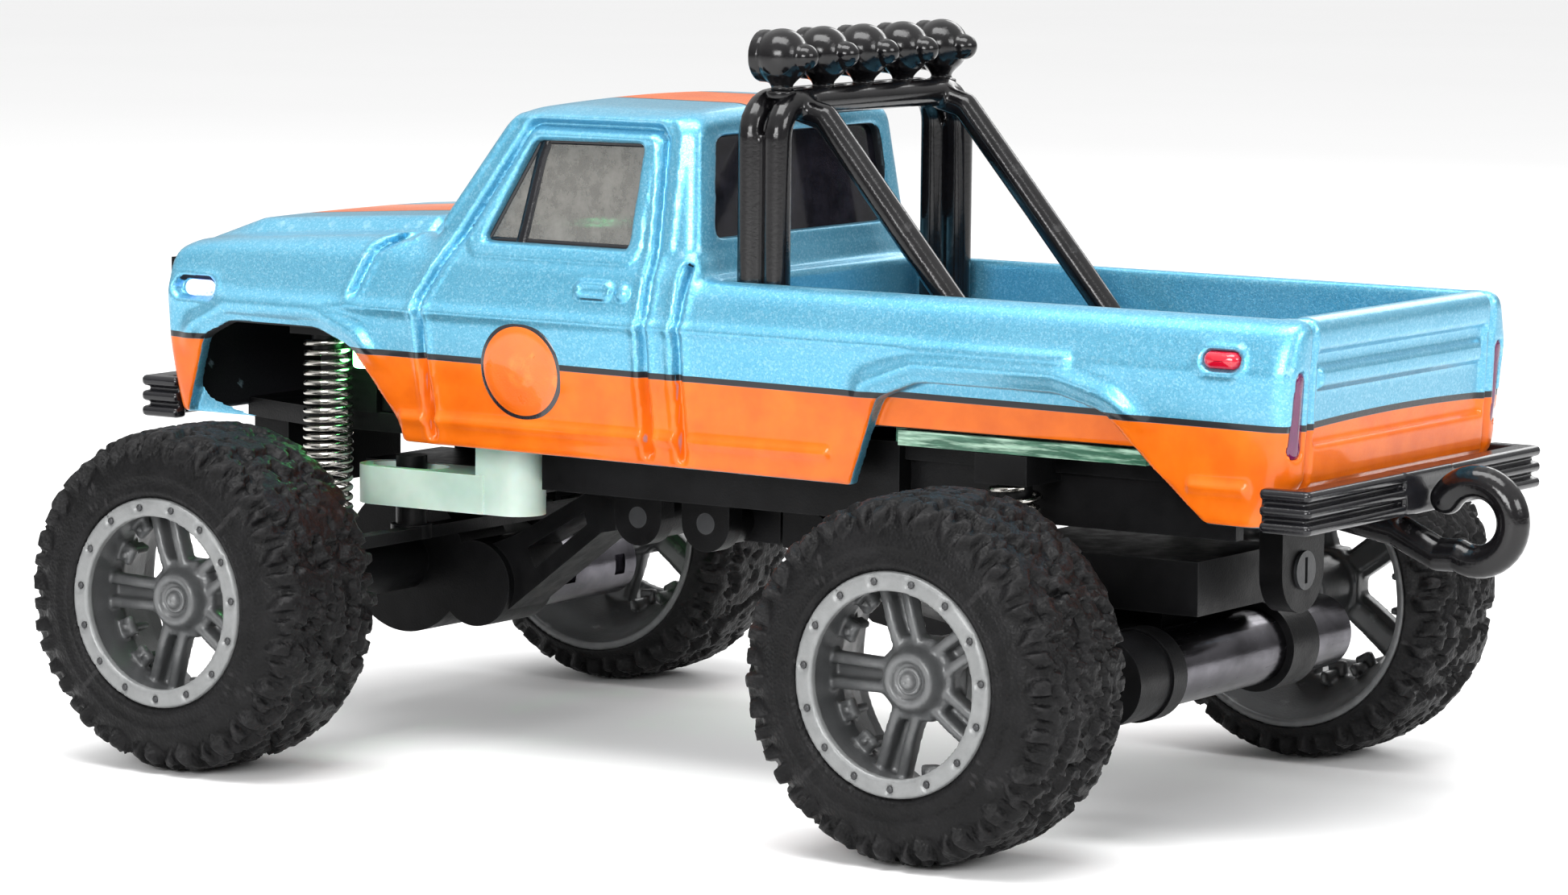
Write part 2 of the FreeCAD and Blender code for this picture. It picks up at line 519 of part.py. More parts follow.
tie = [box(-KINGPIN_X, KINGPIN_X, TIE_Y + 0.1, TIE_Y + 1.1, 11.65, 12.35)]
for s in (-1, 1):
    tie.append(rod_z(11.65, 12.35, s * KINGPIN_X, TIE_Y, 0.85))
    tie.append(rod_z(11.65, 12.35, s * KINGPIN_X, TIE_Y - 0.4, 0.85))
tie.append(rod_z(11.65, 16.4, HORN_X, TIE_Y, 0.9))
tie.append(rod_z(11.65, 12.45, HORN_X, TIE_Y, 1.2))
save("tie_rod", join(tie).cut(tie_eye(1)).cut(tie_eye(-1)))

fork = join([box(HORN_X - 1.7, HORN_X + 1.7, -21.9, -14.0, 13.6, 15.8), rod_z(13.6, 15.8, HORN_X, -21.9, 1.7)])
fork_slot = join([box(HORN_X - 1.15, HORN_X + 1.15, -21.6, -19.0, 13, 17), rod_z(13, 17, HORN_X, -21.6, 1.15),
                  rod_z(13, 17, HORN_X, -19.0, 1.15)])
horn = join([fork, box(HORN_X - 1.6, HORN_X + 1.6, -14.6, HORN_Y, 13.6, 17.4), rod_z(13.6, 17.4, HORN_X, HORN_Y, 1.6)])
horn = horn.cut(fork_slot).fuse(rod_z(17.4, 21.4, HORN_X, HORN_Y, 0.9))
save("servo_horn", horn.removeSplitter())

# Rear axle: two-piece housing, arm, motor with gearbox, shaft, pinion
CASE0, CASE1 = -6.7, -3.8
rear_housing = axle_housing(REAR_Y, 13.5, CASE0, CASE1, REAR_SPRING_Y)
clamp = rod_x(7.8, 9.2, REAR_Y + MOTOR_DY, TYRE_R + MOTOR_DZ, 2.5)
clamp = clamp.fuse(box(7.8, 9.2, REAR_Y, REAR_Y + 3.5, 8.2, 10.6))
rear_housing = join([rear_housing, clamp])
cuts = [rod_x(-14, 14, REAR_Y, TYRE_R, SHAFT_R + RUN),
        rod_x(7, 10, REAR_Y + MOTOR_DY, TYRE_R + MOTOR_DZ, 2.05),
        rod_x(-7, CASE1, REAR_Y + MOTOR_DY, TYRE_R + MOTOR_DZ, 0.4 + RUN)]
case_half, tube_half = halves(rear_housing.cut(cuts[0].multiFuse(cuts[1:])), CASE1 - 0.6)
save("rear_axle_case", case_half)
save("rear_axle_tube", tube_half)

rear_points = [(2.0, 15.0), (2.0, 12.4), (3.0, 12.2), (8.0, 8.7), (20.0, 6.6), (26.4, 6.6), (26.4, 12.0), (20.0, 12.0),
               (9.0, 12.0), (3.0, 15.0)]
rear_arm = spine(rear_points, 1.7, [rod_x(-3, 3, REAR_Y, TYRE_R, 1.7)])
slot = side([(6.6, 11.6), (9.6, 9.6), (17.6, 8.3), (17.6, 10.4), (9.4, 10.8)], -2, 2)
rear_arm = max(rear_arm.Solids, key=lambda s: s.Volume).cut(slot)
rear_arm = rear_arm.fuse(box(-3.4, 6.0, 18.0, 31.0, 11.5, 14.4))
save("rear_arm", rear_arm.fuse(roll_pin(REAR_PIVOT_Y, 1)))

save("rear_motor", motor(REAR_Y, CASE1, 8.6, -1))
my, mz = REAR_Y + MOTOR_DY, TYRE_R + MOTOR_DZ
cap = rod_x(8.6, 12.4, my, mz, 2.35).cut(rod_x(11.0, 13.0, my, mz, 1.3)).cut(rod_x(8, 9.2, my, mz, 2.5))
save("rear_motor_cap", cap.fuse(rod_x(8.6, 9.2, my, mz, 2.0)))
save("rear_gearbox", rod_x(-11.2, CASE0, my, mz, 2.05).cut(rod_x(-8.2, CASE0 + 0.1, my, mz, 0.4 + RUN)))
save("rear_pinion", pinion(REAR_Y, -6.0, -4.5, -8.0, -2.0))
rear_gear = gear(GEAR_Z, -6.0, -4.5, REAR_Y, TYRE_R, 0, MESH)
save("rear_axle_shaft", rod_x(-22.0, 22.0, REAR_Y, TYRE_R, SHAFT_R).fuse(rear_gear))


# Wheels
def stub():
    """Front stub axle: ball in the drive cup, waist, shaft through the knuckle into the rim."""
    steps = [math.radians(a) for a in range(180, 29, -15)]
    profile = [(KINGPIN_X + 0.9 * math.cos(a), 0.9 * math.sin(a)) for a in steps]
    profile += [(14.7, 0.45), (14.7, SHAFT_R), (22.0, SHAFT_R), (22.0, 0.0)]
    return turned(profile, FRONT_Y, TYRE_R)


save("stub_left", stub())
save("stub_right", mirrored(stub()))


def rim():
    """Deep-dish wheel: bolted ring, five paired spokes, boss and flared barrel."""
    barrel = [(25.1, 4.95), (25.1, 5.7), (24.9, 5.85), (22.0, 5.85), (18.0, 7.1), (16.8, 7.6), (16.3, 7.6), (16.3, 7.1),
              (17.8, 6.6), (21.2, 5.35), (24.2, 5.2), (24.5, 4.95)]
    pieces = [turned(barrel, 0, 0), rod_x(17.4, 23.0, 0, 0, 1.9), rod_x(23.0, 23.3, 0, 0, 1.35)]
    for i in range(5):
        for off in (-0.62, 0.62):
            bar = box(21.7, 22.8, off - 0.36, off + 0.36, 1.2, 5.5)
            pieces.append(turn(bar, 0, 0, 72 * i))
        pieces.append(turn(box(21.5, 22.0, -0.6, 0.6, 1.2, 5.5), 0, 0, 72 * i))
    for i in range(15):
        pieces.append(turn(rod_x(25.0, 25.25, 0, 5.35, 0.22), 0, 0, 24 * i))
    shape = join(pieces)
    return shape.cut(rod_x(17, 22.0, 0, 0, SHAFT_R)).cut(rod_x(21.9, 24, 0, 0, 0.35))


def tyre():
    """Rubber tyre on the flared barrel with two staggered rows of blocks."""
    casing = [(24.9, 5.85), (25.0, 6.5), (24.8, 7.8), (24.4, 8.9), (17.2, 8.9), (16.4, 8.3), (16.2, 7.7), (16.8, 7.6),
              (18.0, 7.1), (22.0, 5.85)]
    pieces = [turned(casing, 0, 0)]
    blocks = 30
    for row, (x0, x1) in enumerate(((17.4, 20.9), (20.9, 24.4))):
        points = []
        for i in range(blocks):
            for part, radius in ((-0.32, 8.85), (-0.26, TYRE_R), (0.26, TYRE_R), (0.32, 8.85)):
                a = (i + part + 0.5 * row) * 2 * math.pi / blocks - math.pi / 2
                points.append(V(x0, radius * math.cos(a), radius * math.sin(a)))
        ring = face(points).extrude(V(x1 - x0, 0, 0))
        pieces.append(ring.cut(rod_x(x0 - 1, x1 + 1, 0, 0, 8.5)))
    return join(pieces)


RIM, TYRE = rim(), tyre()
SCREW = join([rod_x(22.0, 23.3, 0, 0, 0.35), rod_x(23.3, 23.75, 0, 0, 0.8)])
for end, y in (("front", FRONT_Y), ("rear", REAR_Y)):
    for name, flip in (("left", False), ("right", True)):
        for part, shape in (("rim", RIM), ("tyre", TYRE), ("wheel_screw", SCREW)):
            placed = mirrored(shape) if flip else shape.copy()
            placed.translate(V(0, y, TYRE_R))
            save("%s_%s_%s" % (part, end, name), placed)
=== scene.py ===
"""Finished look of the small radio-controlled pickup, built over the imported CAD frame.

Lengths below are millimetres measured from midway between the axles, as in the CAD source:
place() turns them into metres and shifts them into the frame. Front is -Y, the truck's left is +X.
"""
import bpy
import math
import numpy as np
from mathutils import Matrix


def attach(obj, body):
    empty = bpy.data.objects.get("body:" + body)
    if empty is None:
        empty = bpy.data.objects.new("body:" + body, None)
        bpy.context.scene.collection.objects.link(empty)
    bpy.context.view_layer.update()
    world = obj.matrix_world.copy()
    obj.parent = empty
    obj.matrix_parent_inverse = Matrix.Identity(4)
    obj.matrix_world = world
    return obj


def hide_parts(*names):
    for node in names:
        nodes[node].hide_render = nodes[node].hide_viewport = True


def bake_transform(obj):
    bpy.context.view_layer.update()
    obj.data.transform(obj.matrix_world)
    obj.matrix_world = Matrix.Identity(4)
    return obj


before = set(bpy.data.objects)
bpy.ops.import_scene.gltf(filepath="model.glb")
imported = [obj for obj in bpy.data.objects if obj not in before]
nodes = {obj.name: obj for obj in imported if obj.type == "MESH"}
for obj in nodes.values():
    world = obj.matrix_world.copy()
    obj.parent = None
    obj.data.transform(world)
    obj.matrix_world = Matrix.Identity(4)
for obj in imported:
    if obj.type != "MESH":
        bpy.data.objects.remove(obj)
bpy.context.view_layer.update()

SHIFT_Y = -5.3
WHEEL_Z = 9.6
AXLE_Y = {"front": -24.0, "rear": 24.0}
TRACK = {"left": 1, "right": -1}
STEP = 0.19


# ---------------------------------------------------------------- camera, floor and light

def place(points):
    points = np.asarray(points, float).reshape(-1, 3)
    return (points + (0.0, SHIFT_Y, 0.0)) * 0.001


def look_from(position, azimuth, elevation, roll, lens):
    """Camera at a point, azimuth 0 looking along +Y, all angles in degrees."""
    a, e, r = (math.radians(v) for v in (azimuth, elevation, roll))
    back = np.array([math.sin(a) * math.cos(e), -math.cos(a) * math.cos(e), math.sin(e)])
    right = np.cross((0, 0, 1), back)
    right /= np.linalg.norm(right)
    up = np.cross(back, right)
    x_axis = math.cos(r) * right + math.sin(r) * up
    y_axis = -math.sin(r) * right + math.cos(r) * up
    camera = bpy.data.objects.new("camera", bpy.data.cameras.new("camera"))
    bpy.context.collection.objects.link(camera)
    matrix = np.eye(4)
    matrix[:3, :4] = np.stack([x_axis, y_axis, back, position], axis=1)
    camera.matrix_world = Matrix(matrix.tolist())
    camera.data.sensor_fit = "HORIZONTAL"
    camera.data.sensor_width = 36.0
    camera.data.lens = lens
    camera.data.clip_start, camera.data.clip_end = 0.01, 50.0
    bpy.context.scene.camera = camera


look_from(place((274.5, 181.9, 56.2))[0], 123.40, 6.67, 0.56, 135.49)


def softbox(name, position, target, width, height, power, colour=(1, 1, 1)):
    light = bpy.data.lights.new(name, "AREA")
    light.shape, light.size, light.size_y = "RECTANGLE", width, height
    light.energy, light.color = power, colour
    lamp = bpy.data.objects.new(name, light)
    bpy.context.collection.objects.link(lamp)
    back = np.array(position, float) - np.array(target, float)
    back /= np.linalg.norm(back)
    right = np.cross((0, 0, 1), back)
    right = right / np.linalg.norm(right) if np.linalg.norm(right) > 1e-6 else np.array([1.0, 0, 0])
    matrix = np.eye(4)
    matrix[:3, :4] = np.stack([right, np.cross(back, right), back, position], axis=1)
    lamp.matrix_world = Matrix(matrix.tolist())


softbox("softbox_top", (0.10, 0.02, 0.34), (0, 0, 0.02), 0.30, 0.16, 1.3)
softbox("softbox_side", (0.42, 0.10, 0.16), (0, 0, 0.02), 0.22, 0.12, 1.3)
softbox("softbox_rear", (0.05, 0.42, 0.20), (0, 0, 0.02), 0.22, 0.12, 0.8)
softbox("softbox_far", (-0.40, -0.05, 0.22), (0, 0, 0.02), 0.24, 0.14, 0.35)

scene = bpy.context.scene
scene.view_settings.view_transform = "Standard"
scene.world = bpy.data.worlds.new("studio")
scene.world.use_nodes = True
backdrop = scene.world.node_tree
direction = backdrop.nodes.new("ShaderNodeSeparateXYZ")
backdrop.links.new(backdrop.nodes.new("ShaderNodeTexCoord").outputs["Generated"], direction.inputs[0])
fade = backdrop.nodes.new("ShaderNodeMapRange")
fade.inputs["From Min"].default_value, fade.inputs["From Max"].default_value = 0.05, 0.75
fade.inputs["To Min"].default_value, fade.inputs["To Max"].default_value = 0.30, 1.15
backdrop.links.new(direction.outputs[2], fade.inputs["Value"])
backdrop.links.new(fade.outputs[0], backdrop.nodes["Background"].inputs["Strength"])
backdrop.nodes["Background"].inputs["Color"].default_value = (1.0, 1.0, 1.0, 1.0)


# ---------------------------------------------------------------- materials

class Paint:
    """A Principled material and the nodes that feed it."""

    def __init__(self, name, **constants):
        self.material = bpy.data.materials.new(name)
        self.material.use_nodes = True
        self.tree = self.material.node_tree
        self.shader = self.tree.nodes["Principled BSDF"]
        for socket, value in constants.items():
            self.shader.inputs[socket.replace("_", " ")].default_value = value
        self.coords = self.node("ShaderNodeTexCoord").outputs["Object"]

    def node(self, kind, inputs=None, **settings):
        made = self.tree.nodes.new(kind)
        for key, value in settings.items():
            setattr(made, key, value)
        for key, value in (inputs or {}).items():
            self.feed(made.inputs[key], value)
        return made

    def feed(self, socket, value):
        if isinstance(value, bpy.types.NodeSocket):
            self.tree.links.new(value, socket)
        else:
            socket.default_value = value

    def math(self, operation, *values):
        made = self.node("ShaderNodeMath", operation=operation)
        for socket, value in zip(made.inputs, values):
            self.feed(socket, value)
        return made.outputs[0]

    def axes(self):
        """Object coordinates in millimetres from midway between the axles."""
        split = self.node("ShaderNodeSeparateXYZ", {0: self.coords})
        x, y, z = (self.math("MULTIPLY", split.outputs[i], 1000.0) for i in range(3))
        return x, self.math("SUBTRACT", y, SHIFT_Y), z

    def above(self, value, edge, width=0.03):
        """0 below an edge, 1 above it, in millimetres."""
        scaled = self.math("DIVIDE", self.math("SUBTRACT", value, edge), width)
        made = self.node("ShaderNodeClamp", {0: self.math("ADD", scaled, 0.5)})
        return made.outputs[0]

    def below(self, value, edge, width=0.03):
        return self.math("SUBTRACT", 1.0, self.above(value, edge, width))

    def times(self, a, b):
        return self.math("MULTIPLY", a, b)

    def plus(self, a, b):
        return self.math("ADD", a, b)

    def minus(self, a, b):
        return self.math("SUBTRACT", a, b)

    def larger(self, a, b):
        return self.math("MAXIMUM", a, b)

    def size(self, value):
        return self.math("ABSOLUTE", value)

    def noise(self, scale, detail=4.0, roughness=0.55, stretch=(1, 1, 1)):
        mapped = self.node("ShaderNodeMapping", {"Vector": self.coords, "Scale": stretch})
        return self.node("ShaderNodeTexNoise", {"Vector": mapped.outputs[0], "Scale": scale, "Detail": detail,
                                                "Roughness": roughness}).outputs["Fac"]

    def cells(self, scale, output="Color", feature="F1"):
        return self.node("ShaderNodeTexVoronoi", {"Vector": self.coords, "Scale": scale},
                         feature=feature).outputs[output]

    def scale(self, value, low, high, from_low=0.0, from_high=1.0):
        return self.node("ShaderNodeMapRange", {"Value": value, "From Min": from_low, "From Max": from_high,
                                                "To Min": low, "To Max": high}).outputs[0]

    def edges(self, radius=None):
        """1 on proud edges, broken up: from mesh curvature, or from a rounding radius in metres."""
        geometry = self.node("ShaderNodeNewGeometry").outputs
        if radius:
            softened = self.node("ShaderNodeBevel", {"Radius": radius}, samples=4).outputs[0]
            turn = self.node("ShaderNodeVectorMath", {0: geometry["Normal"], 1: softened},
                             operation="DOT_PRODUCT")
            proud = self.scale(turn.outputs["Value"], 1.0, 0.0, 0.80, 0.98)
        else:
            proud = self.scale(geometry["Pointiness"], 0.0, 1.0, 0.53, 0.60)
        return self.math("MULTIPLY", proud, self.scale(self.noise(1700.0, 4.0, 0.7), 0.1, 1.0, 0.38, 0.62))

    def mix(self, factor, a, b):
        made = self.node("ShaderNodeMix", data_type="RGBA")
        self.feed(made.inputs[0], factor)
        for socket, value in ((made.inputs[6], a), (made.inputs[7], b)):
            self.feed(socket, (*value, 1.0) if isinstance(value, tuple) else value)
        return made.outputs[2]

    def shade(self, colour=None, roughness=None, height=None, depth=0.00002, strength=1.0):
        if colour is not None:
            self.feed(self.shader.inputs["Base Color"], colour)
        if roughness is not None:
            self.feed(self.shader.inputs["Roughness"], roughness)
        if height is not None:
            bump = self.node("ShaderNodeBump", {"Height": height, "Distance": depth, "Strength": strength})
            self.feed(self.shader.inputs["Normal"], bump.outputs[0])
        return self.material


def moulded(name, dark, light, rough_low, rough_high, grain=9000.0, depth=0.000012, corner=None, **constants):
    """Injection-moulded plastic: faint flow marks, fine grain, patchy gloss, rubbed edges."""
    m = Paint(name, **constants)
    flow = m.noise(260.0, 3.0)
    fine = m.noise(grain, 2.0)
    worn = m.noise(900.0, 5.0, 0.65)
    colour = m.mix(m.scale(flow, 0.0, 1.0, 0.35, 0.65), dark, light)
    rough = m.scale(worn, rough_low, rough_high, 0.3, 0.7)
    rubbed = m.edges(corner)
    colour = m.mix(m.scale(rubbed, 0.0, 0.6), colour, tuple(min(1.0, 1.5 * c + 0.02) for c in light))
    rough = m.plus(rough, m.times(rubbed, 0.12))
    return m.shade(colour, rough, m.plus(fine, m.times(worn, 0.6)), depth)


def metal(name, dark, light, rough_low, rough_high, stretch=(1, 1, 1), depth=0.000006):
    """Drawn or turned metal with fine lines along one direction and polished edges."""
    m = Paint(name, Metallic=1.0)
    lines = m.noise(4200.0, 3.0, 0.6, stretch)
    patches = m.noise(500.0, 4.0)
    colour = m.mix(m.scale(patches, 0.0, 1.0, 0.3, 0.7), dark, light)
    rough = m.scale(lines, rough_low, rough_high, 0.3, 0.7)
    rubbed = m.edges(0.00008)
    colour = m.mix(m.scale(rubbed, 0.0, 0.5), colour, tuple(min(1.0, 1.35 * c + 0.05) for c in light))
    return m.shade(colour, m.minus(rough, m.times(rubbed, 0.06)), lines, depth)


def glow(name, colour, strength, inner):
    """Lit lens: a bright core with a moulded pattern of fine prisms."""
    m = Paint(name, Emission_Strength=strength, Roughness=0.15)
    prisms = m.cells(3800.0, "Distance")
    m.feed(m.shader.inputs["Emission Color"], m.mix(m.scale(prisms, 0.0, 1.0, 0.1, 0.7), colour, inner))
    return m.shade(m.mix(prisms, colour, inner), None, prisms, 0.00003)


BLUE, BLUE_DEEP, BLUE_LIGHT = (0.13, 0.43, 0.60), (0.08, 0.33, 0.50), (0.36, 0.66, 0.79)
ORANGE, ORANGE_DEEP = (0.70, 0.135, 0.004), (0.60, 0.100, 0.002)


def shell_paint():
    """Metallic light blue over the whole shell, orange below a black pinstripe on the outside only; inner, end and
    downward faces of the hollow are painted near-black as painted shade.
    """
    m = Paint("shell_paint", Coat_Roughness=0.08)
    x, y, z = m.axes()
    far = m.size(x)
    normal = m.node("ShaderNodeSeparateXYZ", {0: m.node("ShaderNodeNewGeometry").outputs["Normal"]})
    outward = m.times(normal.outputs[0], m.math("SIGN", x))
    side = m.times(m.above(outward, 0.42, 0.1), m.above(far, 10.7, 0.05))
    tail = m.times(m.above(normal.outputs[1], 0.3, 0.1), m.above(y, 38.9, 0.05))
    nose = m.times(m.above(m.times(normal.outputs[1], -1.0), 0.3, 0.1),
                  m.above(m.times(y, -1.0), 32.6, 0.05))
    outer = m.larger(side, m.larger(tail, nose))

    # pinstripe height: falls slowly to the rear, arches up across the tailgate
    level = m.scale(y, 22.95, 22.5, -34.0, 38.0)
    across = m.math("DIVIDE", far, 9.4)
    arch = m.larger(m.minus(1.0, m.times(across, across)), 0.0)
    level = m.plus(level, m.times(m.times(arch, 0.2), m.above(y, 39.0, 0.1)))
    blue_side = m.above(z, m.plus(level, 0.17))
    below = m.below(z, m.minus(level, 0.17))
    lower = m.times(below, outer)
    line = m.times(m.minus(1.0, m.plus(below, blue_side)), outer)

    # centre stripe with thin dark edges on the hood and the roof
    upward = m.times(m.above(normal.outputs[2], 0.55, 0.1), m.above(z, 27.6))
    ahead = m.larger(m.below(y, -15.5), m.above(z, 36.2))
    upward = m.times(upward, ahead)
    band = m.times(m.below(far, 4.1), upward)
    inner_band = m.times(m.below(far, 3.8), upward)
    orange = m.larger(lower, inner_band)
    dark = m.larger(line, m.minus(band, inner_band))

    flakes = m.node("ShaderNodeSeparateXYZ", {0: m.cells(15000.0)})
    coarse = m.node("ShaderNodeSeparateXYZ", {0: m.cells(9000.0)})
    cloud = m.noise(140.0, 3.0)
    blue = m.mix(m.scale(flakes.outputs[0], 0.0, 0.85), BLUE_DEEP, BLUE)
    blue = m.mix(m.scale(coarse.outputs[0], 0.0, 0.35, 0.6, 1.0), blue, BLUE_LIGHT)
    blue = m.mix(m.scale(cloud, 0.0, 0.10, 0.35, 0.65), blue, BLUE_LIGHT)
    warm = m.mix(m.scale(m.noise(420.0, 4.0), 0.0, 1.0, 0.35, 0.65), ORANGE_DEEP, ORANGE)
    colour = m.mix(orange, blue, warm)
    # painted shade: faces inside the hollow shell (inward, end and downward ones) are painted near-black
    inward_shade = m.times(m.above(m.times(outward, -1.0), 0.35, 0.1), m.above(far, 6.0))
    under = m.above(m.times(normal.outputs[2], -1.0), 0.6, 0.1)
    ends = m.times(m.above(m.size(normal.outputs[1]), 0.5, 0.1),
                  m.below(m.size(m.minus(y, 2.4)), 36.2))
    ends = m.times(ends, m.below(far, 10.3))
    ends = m.times(ends, m.below(z, 28.2))
    inside = m.larger(inward_shade, m.larger(m.times(under, m.above(z, 20.3)), ends))
    open_part = m.times(m.above(y, 2.0), m.above(z, 21.0))
    cab_glass = m.times(m.above(z, 29.3), m.above(far, 8.6))
    inside = m.times(inside, m.minus(1.0, m.larger(open_part, cab_glass)))
    inside = m.times(inside, m.below(m.minus(z, y), 66.5))
    on_hood = m.times(m.above(z, 28.6), m.below(y, -12.5))
    inside = m.times(inside, m.minus(1.0, m.larger(on_hood, m.above(y, 38.9))))
    dark = m.larger(dark, inside)
    colour = m.mix(dark, colour, (0.010, 0.010, 0.012))
    rubbed = m.edges()
    colour = m.mix(m.scale(rubbed, 0.0, 0.35), colour, m.mix(orange, (0.50, 0.74, 0.84), (0.82, 0.30, 0.05)))
    # printed also covers the painted shade on the inner faces, which lose the metallic look as well
    printed = m.larger(orange, dark)
    m.feed(m.shader.inputs["Metallic"], m.scale(printed, 0.74, 0.04))
    m.feed(m.shader.inputs["Coat Weight"], m.scale(inside, 0.38, 0.0))
    m.feed(m.shader.inputs["Specular IOR Level"], m.scale(printed, 0.5, 0.22))
    rough = m.scale(flakes.outputs[1], 0.28, 0.44)
    rough = m.plus(rough, m.times(inside, 0.35))
    rough = m.plus(rough, m.times(rubbed, 0.10))
    sparkle = m.times(flakes.outputs[2], m.scale(printed, 1.0, 0.1))
    height = m.plus(sparkle, m.times(m.noise(1500.0, 2.0), 0.8))
    return m.shade(colour, rough, height, 0.0000075)


def tyre_rubber():
    m = Paint("tyre_rubber", Specular_IOR_Level=0.15)
    mottled = m.noise(700.0, 5.0, 0.62)
    dust = m.noise(2600.0, 3.0, 0.7)
    grain = m.cells(5200.0, "Distance")
    rubbed = m.edges()
    colour = m.mix(m.scale(mottled, 0.0, 1.0, 0.38, 0.68), (0.002, 0.002, 0.0022), (0.006, 0.0058, 0.0063))
    colour = m.mix(m.scale(dust, 0.0, 0.4, 0.62, 0.85), colour, (0.030, 0.029, 0.030))
    colour = m.mix(m.scale(rubbed, 0.0, 0.55), colour, (0.030, 0.029, 0.030))
    rough = m.plus(m.scale(dust, 0.36, 0.62, 0.3, 0.7), m.times(rubbed, 0.1))
    return m.shade(colour, rough, m.plus(m.times(mottled, 1.4), grain), 0.00003)


def wheel_plastic():
    """Grey moulded plastic, paler on the bolted ring than in the dish: the darker grey of the recessed dish is
    painted shade.
    """
    m = Paint("wheel_grey", Metallic=0.2, Coat_Weight=0.1)
    ring = m.above(m.size(m.axes()[0]), 24.6, 0.2)
    flow = m.noise(260.0, 3.0)
    worn = m.noise(900.0, 5.0, 0.65)
    # painted shade: everything inside x 24.6, the recessed dish and hub, gets the darker grey
    colour = m.mix(m.scale(flow, 0.0, 1.0, 0.35, 0.65), (0.075, 0.078, 0.080), (0.110, 0.113, 0.115))
    pale = m.mix(m.scale(worn, 0.0, 1.0, 0.3, 0.7), (0.150, 0.155, 0.155), (0.20, 0.205, 0.205))
    colour = m.mix(ring, colour, pale)
    rubbed = m.edges()
    colour = m.mix(m.scale(rubbed, 0.0, 0.5), colour, (0.28, 0.285, 0.285))
    rough = m.plus(m.scale(worn, 0.32, 0.46, 0.3, 0.7), m.times(rubbed, 0.12))
    return m.shade(colour, rough, m.noise(6500.0, 2.0), 0.000014)


def board_edge():
    """Bare circuit-board laminate: green resin with pale glass-fibre waves along its edge."""
    m = Paint("board_laminate", Coat_Weight=0.4, Coat_Roughness=0.2)
    wave = m.noise(900.0, 4.0, 0.6, (1.0, 0.28, 3.2))
    fibre = m.noise(2600.0, 3.0, 0.6, (1.0, 0.25, 2.0))
    colour = m.mix(m.scale(wave, 0.0, 1.0, 0.46, 0.62), (0.012, 0.085, 0.045), (0.36, 0.55, 0.42))
    colour = m.mix(m.scale(fibre, 0.0, 0.5, 0.5, 0.7), colour, (0.10, 0.27, 0.17))
    return m.shade(colour, m.scale(fibre, 0.25, 0.5), wave, 0.00004)


def smoked_glass(name, alpha, dark, light, rough_low, rough_high):
    m = Paint(name, Alpha=alpha, IOR=1.5, Coat_Weight=0.3, Coat_Roughness=0.04)
    haze = m.noise(900.0, 5.0, 0.7)
    colour = m.mix(m.scale(haze, 0.0, 1.0, 0.4, 0.7), dark, light)
    return m.shade(colour, m.scale(haze, rough_low, rough_high), m.noise(240.0, 2.0), 0.00001)


